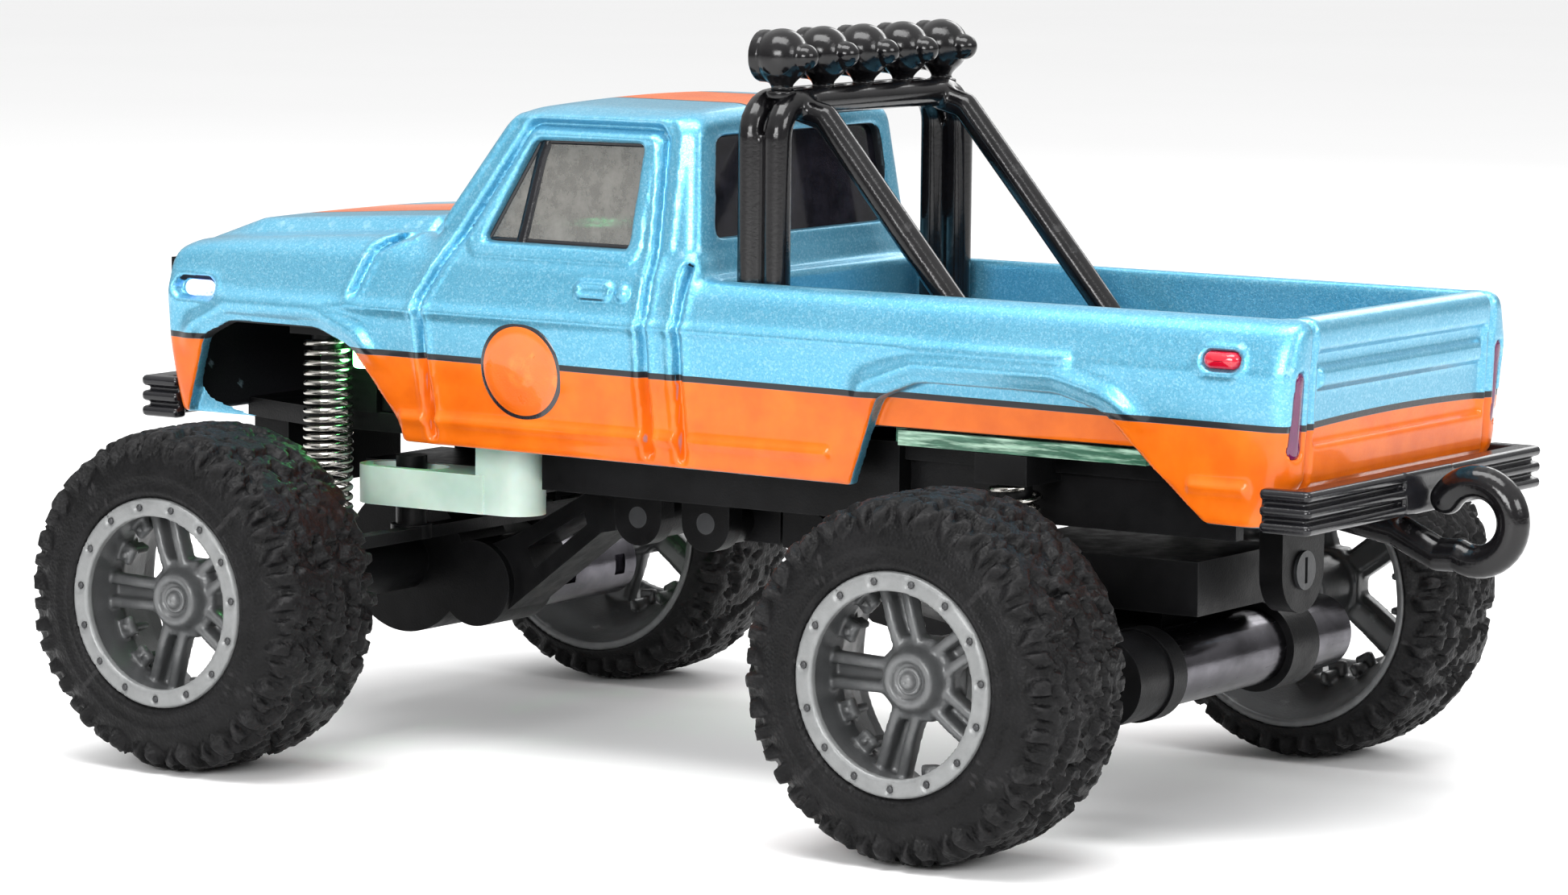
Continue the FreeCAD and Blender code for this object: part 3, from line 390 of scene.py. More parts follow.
MATERIALS = {
    "shell_paint": shell_paint(),
    # smoked_glass and the side glass are one window plastic in two copies: darker front and rear as painted shade,
    # paler and more see-through on the sides as painted light
    "smoked_glass": smoked_glass("smoked_glass", 0.90, (0.008, 0.007, 0.010), (0.022, 0.019, 0.026), 0.04, 0.14),
    "black_plastic": moulded("black_plastic", (0.002, 0.002, 0.0022), (0.005, 0.005, 0.0055), 0.30, 0.48,
                             corner=0.00012, Specular_IOR_Level=0.12),
    "gloss_black": moulded("gloss_black", (0.002, 0.002, 0.0025), (0.005, 0.0045, 0.005), 0.12, 0.24, 5200.0,
                           0.000008, Specular_IOR_Level=0.3, Coat_Weight=0.15, Coat_Roughness=0.06),
    "trim_black": moulded("trim_black", (0.004, 0.004, 0.005), (0.009, 0.009, 0.011), 0.14, 0.26, 7000.0,
                          0.00001, 0.00012, Specular_IOR_Level=0.32, Coat_Weight=0.15, Coat_Roughness=0.08),
    "clear_lens": glow("lit_marker", (0.22, 0.26, 1.0), 1.3, (0.8, 0.86, 1.0)),
    "red_lens": moulded("red_lens", (0.30, 0.001, 0.010), (0.46, 0.004, 0.022), 0.10, 0.2, 2600.0, 0.00003,
                        Coat_Weight=0.6, Emission_Strength=0.10, Emission_Color=(1.0, 0.01, 0.05, 1.0)),
    "tail_lens": moulded("tail_lens", (0.055, 0.004, 0.045), (0.12, 0.006, 0.06), 0.08, 0.18, 2600.0, 0.00003,
                         Coat_Weight=0.6),
    "head_lens": moulded("head_lens", (0.55, 0.57, 0.60), (0.75, 0.77, 0.80), 0.05, 0.14, 2600.0, 0.00003,
                         Metallic=0.6, Coat_Weight=0.8),
    "steel": metal("steel", (0.16, 0.16, 0.165), (0.32, 0.32, 0.33), 0.18, 0.36),
    "spring_steel": metal("spring_steel", (0.30, 0.29, 0.27), (0.58, 0.56, 0.52), 0.12, 0.28, (1, 1, 0.2)),
    "battery_wrap": moulded("battery_wrap", (0.02, 0.04, 0.16), (0.03, 0.06, 0.22), 0.15, 0.3),
    "board": board_edge(),
    "white_nylon": moulded("white_nylon", (0.42, 0.56, 0.49), (0.56, 0.68, 0.61), 0.36, 0.5, 2600.0,
                           0.00001, 0.00012, Subsurface_Weight=0.35, Subsurface_Scale=0.0012),
    "motor_can": metal("motor_can", (0.045, 0.043, 0.05), (0.12, 0.115, 0.13), 0.14, 0.28, (0.15, 1, 1)),
    "brass_gear": metal("brass_gear", (0.55, 0.36, 0.12), (0.72, 0.50, 0.18), 0.2, 0.35),
    "wheel_grey": wheel_plastic(),
    "bolt_grey": moulded("bolt_grey", (0.025, 0.026, 0.028), (0.05, 0.051, 0.053), 0.3, 0.45, 5200.0,
                         0.00001, 0.00008, Metallic=0.4),
    "tyre_rubber": tyre_rubber(),
    # paler grey copy of the window plastic for the side panes: painted light
    "side_glass_painted_light": smoked_glass("side_glass_painted_light", 0.74, (0.13, 0.127, 0.118), (0.20, 0.195, 0.18), 0.12, 0.3),
    "badge_dark": moulded("badge_dark", (0.01, 0.01, 0.014), (0.02, 0.02, 0.025), 0.2, 0.3, Coat_Weight=0.6),
    "badge_orange": moulded("badge_orange", ORANGE_DEEP, ORANGE, 0.25, 0.38, Coat_Weight=0.6),
    "green_led": glow("lit_green", (0.01, 1.0, 0.10), 34.0, (0.25, 1.0, 0.35)),
}


# ---------------------------------------------------------------- mesh helpers

def add_piece(name, points, faces, material, body, replaces=(), normals=None):
    """Object from points in millimetres and equal-sided faces; one given no body is left without a parent."""
    mesh = bpy.data.meshes.new(name)
    faces = np.asarray(faces, np.int32)
    count, sides = faces.shape
    mesh.vertices.add(len(points))
    mesh.vertices.foreach_set("co", place(points).astype(np.float32).ravel())
    mesh.loops.add(faces.size)
    mesh.loops.foreach_set("vertex_index", faces.ravel())
    mesh.polygons.add(count)
    mesh.polygons.foreach_set("loop_start", np.arange(0, faces.size, sides, dtype=np.int32))
    mesh.update(calc_edges=True)
    mesh.validate()
    mesh.shade_smooth()
    if normals is not None:
        mesh.normals_split_custom_set_from_vertices(np.asarray(normals, float).tolist())
    mesh.materials.append(MATERIALS[material])
    piece = bpy.data.objects.new(name, mesh)
    bpy.context.collection.objects.link(piece)
    if body:
        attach(piece, body)
    if replaces:
        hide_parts(*replaces)
    return piece


def merge(parts):
    """Joins (points, quads) pairs."""
    points, faces, total = [], [], 0
    for p, f in parts:
        points.append(np.asarray(p, float))
        faces.append(np.asarray(f, int) + total)
        total += len(p)
    return np.concatenate(points), np.concatenate(faces)


def ring_faces(rows, columns, closed_rows=False, closed_columns=True):
    """Quads of a rows by columns grid of points."""
    i = np.arange(rows if closed_rows else rows - 1)[:, None]
    j = np.arange(columns if closed_columns else columns - 1)[None, :]
    a = i * columns + j
    b = i * columns + (j + 1) % columns
    c = (i + 1) % rows * columns + (j + 1) % columns
    d = (i + 1) % rows * columns + j
    return np.stack(np.broadcast_arrays(a, b, c, d), -1).reshape(-1, 4)


def tube(path, radius, sides=12):
    """Round bar along a path, with domed ends."""
    path = np.asarray(path, float)
    tangent = np.gradient(path, axis=0)
    tangent /= np.linalg.norm(tangent, axis=1)[:, None]
    first = np.cross(tangent[0], (0.0, 0.0, 1.0) if abs(tangent[0][2]) < 0.8 else (1.0, 0.0, 0.0))
    sides_out = [first / np.linalg.norm(first)]
    for t in tangent[1:]:
        v = sides_out[-1] - t * np.dot(sides_out[-1], t)
        sides_out.append(v / np.linalg.norm(v))
    u = np.array(sides_out)
    w = np.cross(tangent, u)
    angle = np.linspace(0, 2 * math.pi, sides, endpoint=False)
    radii = np.full(len(path), float(radius))
    caps = [(0.0, 0.001), (0.3, 0.7), (0.7, 0.95)]
    centres = [path[0] - tangent[0] * radius * (1 - s) * 0.5 for s, _ in caps] + list(path)
    centres += [path[-1] + tangent[-1] * radius * (1 - s) * 0.5 for s, _ in reversed(caps)]
    radii = [radius * r for _, r in caps] + list(radii) + [radius * r for _, r in reversed(caps)]
    u = np.concatenate([[u[0]] * 3, u, [u[-1]] * 3])
    w = np.concatenate([[w[0]] * 3, w, [w[-1]] * 3])
    rings = [c + r * (np.cos(angle)[:, None] * a + np.sin(angle)[:, None] * b)
             for c, r, a, b in zip(centres, radii, u, w)]
    return np.concatenate(rings), ring_faces(len(rings), sides)


def revolve(profile, centre, sides=64, axis="x", closed=True):
    """Solid of revolution of an (along, radius) profile about an axis through centre."""
    profile = np.asarray(profile, float)
    angle = np.linspace(0, 2 * math.pi, sides, endpoint=False)
    along = np.repeat(profile[:, 0], sides)
    across = np.outer(profile[:, 1], np.cos(angle)).ravel()
    over = np.outer(profile[:, 1], np.sin(angle)).ravel()
    order = {"x": (along, across, over), "y": (over, along, across), "z": (across, over, along)}[axis]
    points = np.stack(order, 1) + np.asarray(centre, float)
    return points, ring_faces(len(profile), sides, closed_rows=closed)


# ---------------------------------------------------------------- solid fields and their surfaces

def smooth_min(a, b, r):
    h = np.maximum(r - np.abs(a - b), 0.0) / r
    return np.minimum(a, b) - h * h * (r * 0.25)


def smooth_max(a, b, r):
    h = np.maximum(r - np.abs(a - b), 0.0) / r
    return np.maximum(a, b) + h * h * (r * 0.25)


def soft(t):
    t = np.clip(t, 0.0, 1.0)
    return t * t * (3.0 - 2.0 * t)


def window(v, low, high, edge):
    """1 between low and high, fading to 0 over edge outside them."""
    return soft((v - low + edge) / edge) * soft((high + edge - v) / edge)


def ridge(distance, width):
    return np.exp(-(distance / width) ** 2)


def outline(u, v, points):
    """Signed distance from (u, v) to a closed outline, negative inside."""
    distance = np.full(np.broadcast(u, v).shape, 1e9)
    inside = np.zeros(distance.shape, bool)
    for (a0, b0), (a1, b1) in zip(points, points[1:] + points[:1]):
        da, db = a1 - a0, b1 - b0
        t = np.clip(((u - a0) * da + (v - b0) * db) / (da * da + db * db), 0, 1)
        distance = np.minimum(distance, np.hypot(u - a0 - t * da, v - b0 - t * db))
        if db:
            inside ^= ((b0 <= v) != (b1 <= v)) & (u < a0 + (v - b0) / db * da)
    return np.where(inside, -distance, distance)


def near_line(u, v, points):
    """Distance from (u, v) to an open line of points."""
    distance = np.full(np.broadcast(u, v).shape, 1e9)
    for (a0, b0), (a1, b1) in zip(points, points[1:]):
        da, db = a1 - a0, b1 - b0
        t = np.clip(((u - a0) * da + (v - b0) * db) / (da * da + db * db), 0, 1)
        distance = np.minimum(distance, np.hypot(u - a0 - t * da, v - b0 - t * db))
    return distance


def rounded(field, step, radius):
    """Blurs a two-dimensional field, which rounds the corners of its outline."""
    reach = max(1, int(round(2 * radius / step)))
    taps = np.exp(-0.5 * (np.arange(-reach, reach + 1) * step / radius) ** 2)
    taps /= taps.sum()
    for axis in (0, 1):
        pad = [(reach, reach) if a == axis else (0, 0) for a in (0, 1)]
        wide = np.pad(field, pad, mode="reflect", reflect_type="odd")
        length = field.shape[axis]
        field = sum(t * np.take(wide, np.arange(i, i + length), axis) for i, t in enumerate(taps))
    return field


def surface(field, low, step):
    """Quad surface of the zero level of a field that is negative inside, with its normals."""
    inside = field < 0
    corners = [(i, j, k) for i in (0, 1) for j in (0, 1) for k in (0, 1)]
    nx, ny, nz = field.shape
    count = sum(inside[i:nx - 1 + i, j:ny - 1 + j, k:nz - 1 + k].astype(np.int8) for i, j, k in corners)
    active = (count > 0) & (count < 8)
    cells = np.argwhere(active)
    index = np.full(active.shape, -1, np.int64)
    index[active] = np.arange(len(cells))
    value = {c: field[cells[:, 0] + c[0], cells[:, 1] + c[1], cells[:, 2] + c[2]].astype(float)
             for c in corners}
    where, hits = np.zeros((len(cells), 3)), np.zeros(len(cells))
    for axis in range(3):
        for c in corners:
            if c[axis]:
                continue
            d = tuple(1 if a == axis else c[a] for a in range(3))
            crossing = (value[c] < 0) != (value[d] < 0)
            t = value[c][crossing] / (value[c][crossing] - value[d][crossing])
            where[crossing] += np.array(c, float)
            where[crossing, axis] += t
            hits[crossing] += 1
    where /= hits[:, None]
    gradient = np.zeros_like(where)
    for _ in range(2):
        weight = [(1 - where[:, a], where[:, a]) for a in range(3)]
        level = sum(value[c] * weight[0][c[0]] * weight[1][c[1]] * weight[2][c[2]] for c in corners)
        for a in range(3):
            b, e = [q for q in range(3) if q != a]
            gradient[:, a] = sum((1 if c[a] else -1) * value[c] * weight[b][c[b]] * weight[e][c[e]]
                                 for c in corners)
        size = np.maximum((gradient ** 2).sum(1), 1e-9)
        where = np.clip(where - (level / size)[:, None] * gradient, 0.02, 0.98)
    normals = gradient / np.linalg.norm(gradient, axis=1)[:, None]
    quads = []
    for a in range(3):
        b, c = (a + 1) % 3, (a + 2) % 3
        first = np.take(inside, np.arange(inside.shape[a] - 1), a)
        second = np.take(inside, np.arange(1, inside.shape[a]), a)
        edges = np.argwhere(first != second)
        edges = edges[(edges[:, b] > 0) & (edges[:, c] > 0) & (edges[:, b] < inside.shape[b] - 1)
                      & (edges[:, c] < inside.shape[c] - 1)]
        square = []
        for db, dc in ((1, 1), (0, 1), (0, 0), (1, 0)):
            cell = edges.copy()
            cell[:, b] -= db
            cell[:, c] -= dc
            square.append(index[cell[:, 0], cell[:, 1], cell[:, 2]])
        square = np.stack(square, 1)
        solid_first = first[edges[:, 0], edges[:, 1], edges[:, 2]]
        square[~solid_first] = square[~solid_first][:, ::-1]
        quads.append(square)
    return np.asarray(low) + (cells + where) * step, np.concatenate(quads), normals, cells


def relax(points, faces, values, rounds=2):
    """Averages values over neighbouring points."""
    for _ in range(rounds):
        total, count = np.zeros_like(values), np.zeros(len(points))
        for k in range(4):
            for other in (1, 3):
                np.add.at(total, faces[:, k], values[faces[:, (k + other) % 4]])
                np.add.at(count, faces[:, k], 1)
        values = (values + total / np.maximum(count, 1)[:, None]) * 0.5
    return values


def unit(vectors):
    return vectors / np.maximum(np.linalg.norm(vectors, axis=1), 1e-9)[:, None]


def both_halves(points, faces, normals, cells):
    """Adds the mirror image across x = 0 to a half whose first layer of cells straddles it."""
    middle = cells[:, 0] == 0
    points, normals = points.copy(), normals.copy()
    points[middle, 0], normals[middle, 0] = 0.0, 0.0
    other = np.arange(len(points))
    other[~middle] = len(points) + np.arange((~middle).sum())
    flip = np.array([-1.0, 1.0, 1.0])
    all_points = np.concatenate([points, points[~middle] * flip])
    all_normals = np.concatenate([normals, normals[~middle] * flip])
    return all_points, np.concatenate([faces, other[faces][:, ::-1]]), unit(all_normals)


def keep_faces(points, faces, normals, chosen):
    faces = faces[chosen]
    used = np.unique(faces)
    renumber = np.full(len(points), -1)
    renumber[used] = np.arange(len(used))
    return points[used], renumber[faces], normals[used]


# ---------------------------------------------------------------- body shell

SIDE_X = [(14.0, 11.1), (17.0, 11.4), (20.0, 11.75), (22.8, 12.15), (25.3, 12.4), (26.4, 12.05), (28.1, 11.5),
          (29.4, 10.6), (31.0, 8.8), (40.0, 5.0)]
PROFILE = [(-33.8, 8.0), (-33.8, 18.4), (-34.9, 22.8), (-35.0, 26.8), (-34.2, 28.2), (-30.0, 29.9), (-14.0, 31.0),
           (-12.5, 29.2), (2.3, 28.9), (2.35, 28.1), (39.6, 28.1), (39.9, 27.6), (39.5, 19.6), (37.8, 17.2),
           (37.8, 8.0)]
SILL = [(-36.0, 18.6), (-33.8, 18.4), (-16.7, 17.8), (12.6, 17.6), (37.8, 17.2), (39.5, 19.6), (42.0, 19.6)]
FRONT_ARCH = [(-33.3, 14.0), (-33.0, 18.4), (-31.3, 22.9), (-29.2, 23.9), (-22.8, 23.9), (-20.5, 23.0),
              (-17.4, 18.9), (-16.7, 14.0)]
REAR_ARCH = [(12.6, 14.0), (12.6, 17.6), (14.6, 22.5), (17.3, 23.5), (25.7, 23.5), (28.6, 22.7), (31.0, 20.3),
             (34.4, 17.2), (34.4, 14.0)]
CAB_X = [(24.0, 11.6), (28.0, 11.25), (30.0, 10.8), (35.9, 9.9), (40.0, 9.2)]
CAB_SIDE = [(-15.6, 22.0), (-15.4, 28.0), (-15.2, 30.4), (-11.2, 36.3), (-10.2, 37.1), (-8.0, 37.7), (0.8, 37.7),
            (1.6, 36.9), (2.3, 29.5), (2.3, 22.0)]
SIDE_WINDOW = [(-12.1, 29.4), (-9.1, 35.05), (-1.8, 35.15), (-2.25, 29.4)]
WINDSHIELD = [(-9.7, 30.9), (9.7, 30.9), (8.4, 35.9), (-8.4, 35.9)]
REAR_GLASS = [(-8.9, 30.1), (8.9, 30.1), (8.1, 35.6), (-8.1, 35.6)]
DOOR_GAP = [(-15.0, 18.4), (-15.6, 26.0), (-14.4, 28.2), (-9.5, 35.7), (-9.0, 35.95), (-0.95, 35.95), (-0.4, 35.4),
            (-0.3, 18.4)]
BED_GAP = [(1.9, 28.6), (1.9, 18.3)]
HOOD_GAP = [(-17.0, 30.2), (-17.4, 29.7), (-19.4, 28.5), (-20.3, 26.1)]
WALL = 0.95


def at(table, value):
    return np.interp(value, [t[0] for t in table], [t[1] for t in table])


def pill(u, v, centre, half, r):
    return np.hypot(np.maximum(np.abs(u - centre[0]) - half, 0), v - centre[1]) - r


def shell_fields(step):
    x = np.arange(-step / 2, 13.3, step)
    y = np.arange(-36.0, 40.8, step)
    z = np.arange(14.8, 38.4, step)
    X, Y, Z = x[:, None, None], y[None, :, None], z[None, None, :]
    far = np.abs(X)
    yy, zz = np.meshgrid(y, z, indexing="ij")
    xx, yx = np.meshgrid(np.abs(x), y, indexing="ij")
    xz, zx = np.meshgrid(x, z, indexing="ij")

    # main volume: side surface, length profile, hood crown
    fine = np.arange(12.0, 42.0, 0.05)
    smooth_x = np.convolve(at(SIDE_X, fine), np.ones(13) / 13, "same")
    taper = np.interp(y, [-36.0, -30.0, -18.0, 40.0], [0.955, 0.972, 0.995, 1.0])
    side_x = (np.interp(z, fine, smooth_x)[None, :] * taper[:, None])[None]
    profile = rounded(outline(yy, zz, PROFILE), step, 0.3)[None]
    fender = np.interp(yx, [-35.0, -34.2, -33.0, -25.0, -17.4, -14.0], [27.7, 28.1, 28.6, 29.2, 29.65, 29.9])
    crown = np.interp(yx, [-35.0, -34.2, -30.0, -22.0, -14.0], [27.9, 28.5, 29.85, 30.35, 30.75])
    raised = soft((8.9 - xx) / 1.3)
    top = fender + raised * (crown - fender) - 0.12 * (xx / 8.0) ** 2
    top = np.where(yx < -12.8, top, 60.0)[:, :, None]
    body = smooth_max(far - side_x, profile, 1.3)
    body = smooth_max(body, Z - top, 0.9)
    body = smooth_max(body, -35.0 + 0.006 * far ** 2 - Y, 0.8)

    # cab
    roof = 37.62 - 0.45 * (far / 8.4) ** 2
    cab_side = rounded(outline(yy, zz, CAB_SIDE), step, 0.35)[None]
    cab = smooth_max(far - at(CAB_X, z)[None, None, :], cab_side, 1.1)
    cab = smooth_max(cab, Z - roof, 1.5)
    plain = smooth_min(body, cab, 0.9)

    # relief on the sides
    flank = soft((far - 8.7) / 0.8)
    front_arch, rear_arch = (rounded(outline(yy, zz, a), step, 0.3) for a in (FRONT_ARCH, REAR_ARCH))
    side_window = rounded(outline(yy, zz, SIDE_WINDOW), step, 0.18)
    gaps = np.minimum(np.minimum(near_line(yy, zz, DOOR_GAP), near_line(yy, zz, BED_GAP)),
                      near_line(yy, zz, HOOD_GAP))
    along = window(yy, -29.9, 26.4, 0.5)
    relief = 0.20 * ridge(zz - 25.4, 0.34) * along
    for y0, y1 in ((-17.1, -15.7), (-14.7, -0.8), (0.15, 1.35), (2.5, 11.3), (33.6, 36.8)):
        relief += 0.27 * ridge(zz - 19.2, 0.34) * window(yy, y0, y1, 0.35)
    relief += 0.42 * ridge(front_arch - 0.95, 0.55) * soft((zz - 21.6) / 1.8)
    relief += 0.42 * ridge(rear_arch - 0.95, 0.55) * soft((zz - 21.6) / 1.8)
    relief += 0.13 * window(side_window, 0.15, 0.75, 0.2)
    rail = [(-14.9, 30.3), (-10.6, 36.3), (0.15, 36.45), (0.6, 35.8), (0.55, 29.6)]
    relief += 0.16 * ridge(near_line(yy, zz, rail), 0.26)
    handle = pill(yy, zz, (-3.85, 27.15), 0.78, 0.42)
    relief += 0.30 * soft((0.15 - handle) / 0.25) - 0.20 * soft((-0.12 - handle) / 0.16)
    relief += 0.26 * soft((0.12 - pill(yy, zz, (-1.95, 27.1), 0.0, 0.4)) / 0.25)
    front_marker = pill(yy, zz, (-31.9, 25.7), 0.95, 0.6)
    rear_marker = pill(yy, zz, (35.6, 25.85), 0.62, 0.5)
    for marker in (front_marker, rear_marker):
        relief += 0.10 * ridge(marker - 0.25, 0.16) - 0.55 * soft((0.02 - marker) / 0.2)
    relief -= 0.50 * ridge(gaps, 0.19) - 0.10 * ridge(gaps - 0.50, 0.2)
    shell = plain - relief[None] * flank

    # relief on the tailgate and the nose
    width = np.abs(xz)
    panel = window(width, -1.0, 9.3, 0.25) * window(zx, 21.7, 26.2, 0.3)
    tail = 0.34 * ridge(width - 10.0, 0.19) * window(zx, 18.4, 28.4, 0.4) + 0.34 * panel
    tail -= 0.34 * window(width, -1.0, 8.9, 0.3) * window(zx, 24.6, 25.3, 0.35)
    tail -= 0.40 * window(width, -1.0, 9.7, 0.3) * window(zx, 19.0, 19.4, 0.35)
    tail += 0.5 * soft((0.05 - pill(zx, width, (23.15, 11.1), 1.85, 0.42)) / 0.2)
    shell = shell + tail[:, None, :] * soft((Y - 38.2) / 0.6)
    pocket = outline(xz, zx, [(-10.2, 23.2), (10.2, 23.2), (10.2, 27.2), (-10.2, 27.2)])
    shell = shell + (0.25 * ridge(pocket - 0.55, 0.2))[:, None, :] * soft((-33.6 - Y) / 0.6)
    shell = smooth_max(shell, -np.maximum(rounded(pocket, step, 0.25)[:, None, :], Y + 34.2), 0.15)
    hood_line = near_line(xx, yx, [(0.0, -16.6), (7.6, -17.0), (10.6, -17.4)])
    seam = 0.34 * ridge(hood_line, 0.2) * (yx < -16)
    shell = shell + seam[:, :, None] * soft((Z - 28.9) / 0.6)

    # bed, hollow, arches and glass openings
    bed_floor = 21.6 + 0.16 * soft(1.2 * np.cos(far * 2 * math.pi / 2.4))
    bed = smooth_max(smooth_max(far - 10.3, np.maximum(3.3 - Y, Y - 38.4), 0.8), bed_floor - Z, 0.5)
    shell = smooth_max(shell, -bed, 0.45)
    shell = smooth_max(shell, at(SILL, y)[None, :, None] - Z, 0.35)
    hollow = np.maximum(plain + WALL, np.minimum(Y - 1.2, Z - 20.8))
    shell = smooth_max(shell, -hollow, 0.15)
    post = np.hypot(far, Y + 29.0)
    shell = np.minimum(shell, np.maximum(np.abs(post - 1.0) - 0.5, np.maximum(18.8 - Z, Z - 29.0)))
    shell = smooth_max(shell, -np.maximum(front_arch[None], 10.4 - far), 0.15)
    wheel_well = np.where(Z > 20.8, 10.95, 10.4)
    shell = smooth_max(shell, -np.maximum(rear_arch[None], wheel_well - far), 0.15)
    windshield, rear_glass = (rounded(outline(xz, zx, w), step, 0.35)[:, None, :]
                              for w in (WINDSHIELD, REAR_GLASS))
    openings = np.maximum(side_window[None], 7.5 - far)
    openings = np.minimum(openings, np.maximum(windshield, Y + 8.6))
    openings = np.minimum(openings, np.maximum(rear_glass, 0.3 - Y))
    shell = smooth_max(shell, -openings, 0.2)

    pane = np.maximum(cab + 0.5, -(cab + 0.9))
    near = np.minimum(np.maximum(side_window[None] - 0.45, 7.5 - far), np.maximum(windshield - 0.45, Y + 8.9))
    near = np.minimum(near, np.maximum(rear_glass - 0.45, 0.3 - Y))
    pane = np.maximum(np.maximum(pane, near), 29.0 - Z)
    return (x[0], y[0], z[0]), shell, pane


low, shell_field, pane_field = shell_fields(STEP)
points, faces, normals, cells = surface(shell_field, low, STEP)
normals = relax(points, faces, normals, 1)
points, faces, normals = both_halves(points, faces, normals, cells)
middle_y = points[faces][:, :, 1].mean(1)
cuts = [(-99.0, -15.2), (-15.2, 1.9), (1.9, 20.0), (20.0, 99.0)]
for part, (y0, y1) in zip(("front", "cab", "bed", "tail"), cuts):
    chosen = (middle_y >= y0) & (middle_y < y1)
    part_points, part_faces, part_normals = keep_faces(points, faces, normals, chosen)
    add_piece("shell_" + part, part_points, part_faces, "shell_paint", "chassis",
              ("body_shell",), part_normals)

points, faces, normals, cells = surface(pane_field, low, STEP)
points, faces, normals = both_halves(points, faces, normals, cells)
centres = points[faces].mean(1)
on_side = (np.abs(centres[:, 0]) > 8.9) & (centres[:, 1] > -13.0) & (centres[:, 1] < -1.0)
# side panes take the paler copy of the glass, painted light; front and rear take the darker copy, painted shade
for name, chosen, finish in (("window_front_rear", ~on_side, "smoked_glass"),
                             ("window_side", on_side, "side_glass_painted_light")):
    part_points, part_faces, part_normals = keep_faces(points, faces, normals, chosen)
    add_piece(name, part_points, part_faces, finish, "chassis", ("window_insert",))

# ---------------------------------------------------------------- roll bar and lamps

def capsule(X, Y, Z, a, b, r):
    """Distance to a round-ended bar between two points."""
    a, d = np.asarray(a, float), np.subtract(b, a).astype(float)
    t = np.clip(((X - a[0]) * d[0] + (Y - a[1]) * d[1] + (Z - a[2]) * d[2]) / d.dot(d), 0, 1)
    return np.sqrt((X - a[0] - t * d[0]) ** 2 + (Y - a[1] - t * d[1]) ** 2 + (Z - a[2] - t * d[2]) ** 2) - r


def chain(X, Y, Z, points, r):
    return np.minimum.reduce([capsule(X, Y, Z, a, b, r) for a, b in zip(points, points[1:])])


def grid(low, high, step):
    axes = [np.arange(a, b, step) for a, b in zip(low, high)]
    return np.array([a[0] for a in axes]), np.meshgrid(*axes, indexing="ij", sparse=True)


def roll_bar(step):
    low, (X, Y, Z) = grid((-step / 2, 3.4, 21.0), (10.4, 23.4, 38.8), step)
    corner = [(9.3 - 1.9 * (1 - math.cos(a)), 35.75 + 1.9 * math.sin(a)) for a in np.linspace(0, math.pi / 2, 7)]
    field = np.full(np.broadcast(X, Y, Z).shape, 99.0)
    for y, z0 in ((4.75, 21.5), (6.45, 21.5)):
        path = [(9.3, y, z0)] + [(x, y, z) for x, z in corner] + [(0.0, y, 37.65)]
        field = np.minimum(field, chain(X, Y, Z, path, 0.74))
    foot = np.maximum(np.maximum(np.abs(X - 9.3) - 0.8, np.abs(Y - 5.6) - 1.7), Z - 22.6)
    web = np.maximum(np.maximum(np.abs(X - 9.3) - 0.35, np.abs(Y - 5.6) - 0.8), Z - 35.8)
    plate = np.maximum(np.maximum(np.abs(Y - 5.6) - 0.8, np.abs(Z - 37.65) - 0.38), X - 8.2)
    field = smooth_min(field, np.minimum(np.minimum(foot, web), plate), 0.3)
    brace = chain(X, Y, Z, [(7.2, 6.6, 37.3), (7.2, 8.1, 36.9), (7.2, 21.3, 21.6)], 0.74)
    field = smooth_min(field, np.maximum(brace, 21.2 - Z), 0.35)
    points, faces, normals, cells = surface(field, low, step)
    return both_halves(points, faces, relax(points, faces, normals, 1), cells)


def lamp(step):
    """One pod: ball body, rear boss, stem and a flat front bezel."""
    low, (X, Y, Z) = grid((-1.9, 4.2, 36.9), (1.9, 8.2, 42.0), step)
    ball = np.sqrt(X ** 2 + (Y - 5.9) ** 2 + (Z - 40.15) ** 2) - 1.52
    bezel = np.maximum(np.hypot(X, Z - 40.15) - 1.42, np.abs(Y - 4.85) - 0.28)
    field = smooth_min(np.maximum(ball, 4.75 - Y), bezel, 0.12)
    field = smooth_min(field, capsule(X, Y, Z, (0, 7.2, 40.15), (0, 7.42, 40.15), 0.72), 0.16)
    field = smooth_min(field, capsule(X, Y, Z, (0, 5.9, 37.6), (0, 5.9, 39.0), 0.52), 0.5)
    collar = np.maximum(np.hypot(X, Y - 5.9) - 0.85, np.abs(Z - 38.1) - 0.22)
    field = smooth_min(field, collar, 0.2)
    field = smooth_max(field, -np.maximum(np.hypot(X, Z - 40.15) - 1.16, Y - 4.95), 0.06)
    points, faces, normals, _ = surface(field, low, step)
    return points, faces, unit(relax(points, faces, normals, 1))


bar_points, bar_faces, bar_normals = roll_bar(STEP)
add_piece("roll_hoops", bar_points, bar_faces, "gloss_black", "chassis", ("roll_bar",), bar_normals)
lamp_points, lamp_faces, lamp_normals = lamp(0.11)
row = [lamp_points + (i * 4.07, 0, 0) for i in range(-2, 3)]
points, faces = merge([(p, lamp_faces) for p in row])
add_piece("lamp_row", points, faces, "gloss_black", "chassis", ("lamp_pods",),
          np.tile(lamp_normals, (5, 1)))


# ---------------------------------------------------------------- bumpers, tow hook, under-body lamps

def rounded_box(X, Y, Z, low, high, r):
    """Distance to a box with rounded edges."""
    a, b, c = (np.abs(v - (p + q) / 2) - (q - p) / 2 + r for v, p, q in zip((X, Y, Z), low, high))
    outside = np.sqrt(np.maximum(a, 0) ** 2 + np.maximum(b, 0) ** 2 + np.maximum(c, 0) ** 2)
    return outside + np.minimum(np.maximum(np.maximum(a, b), c), 0) - r


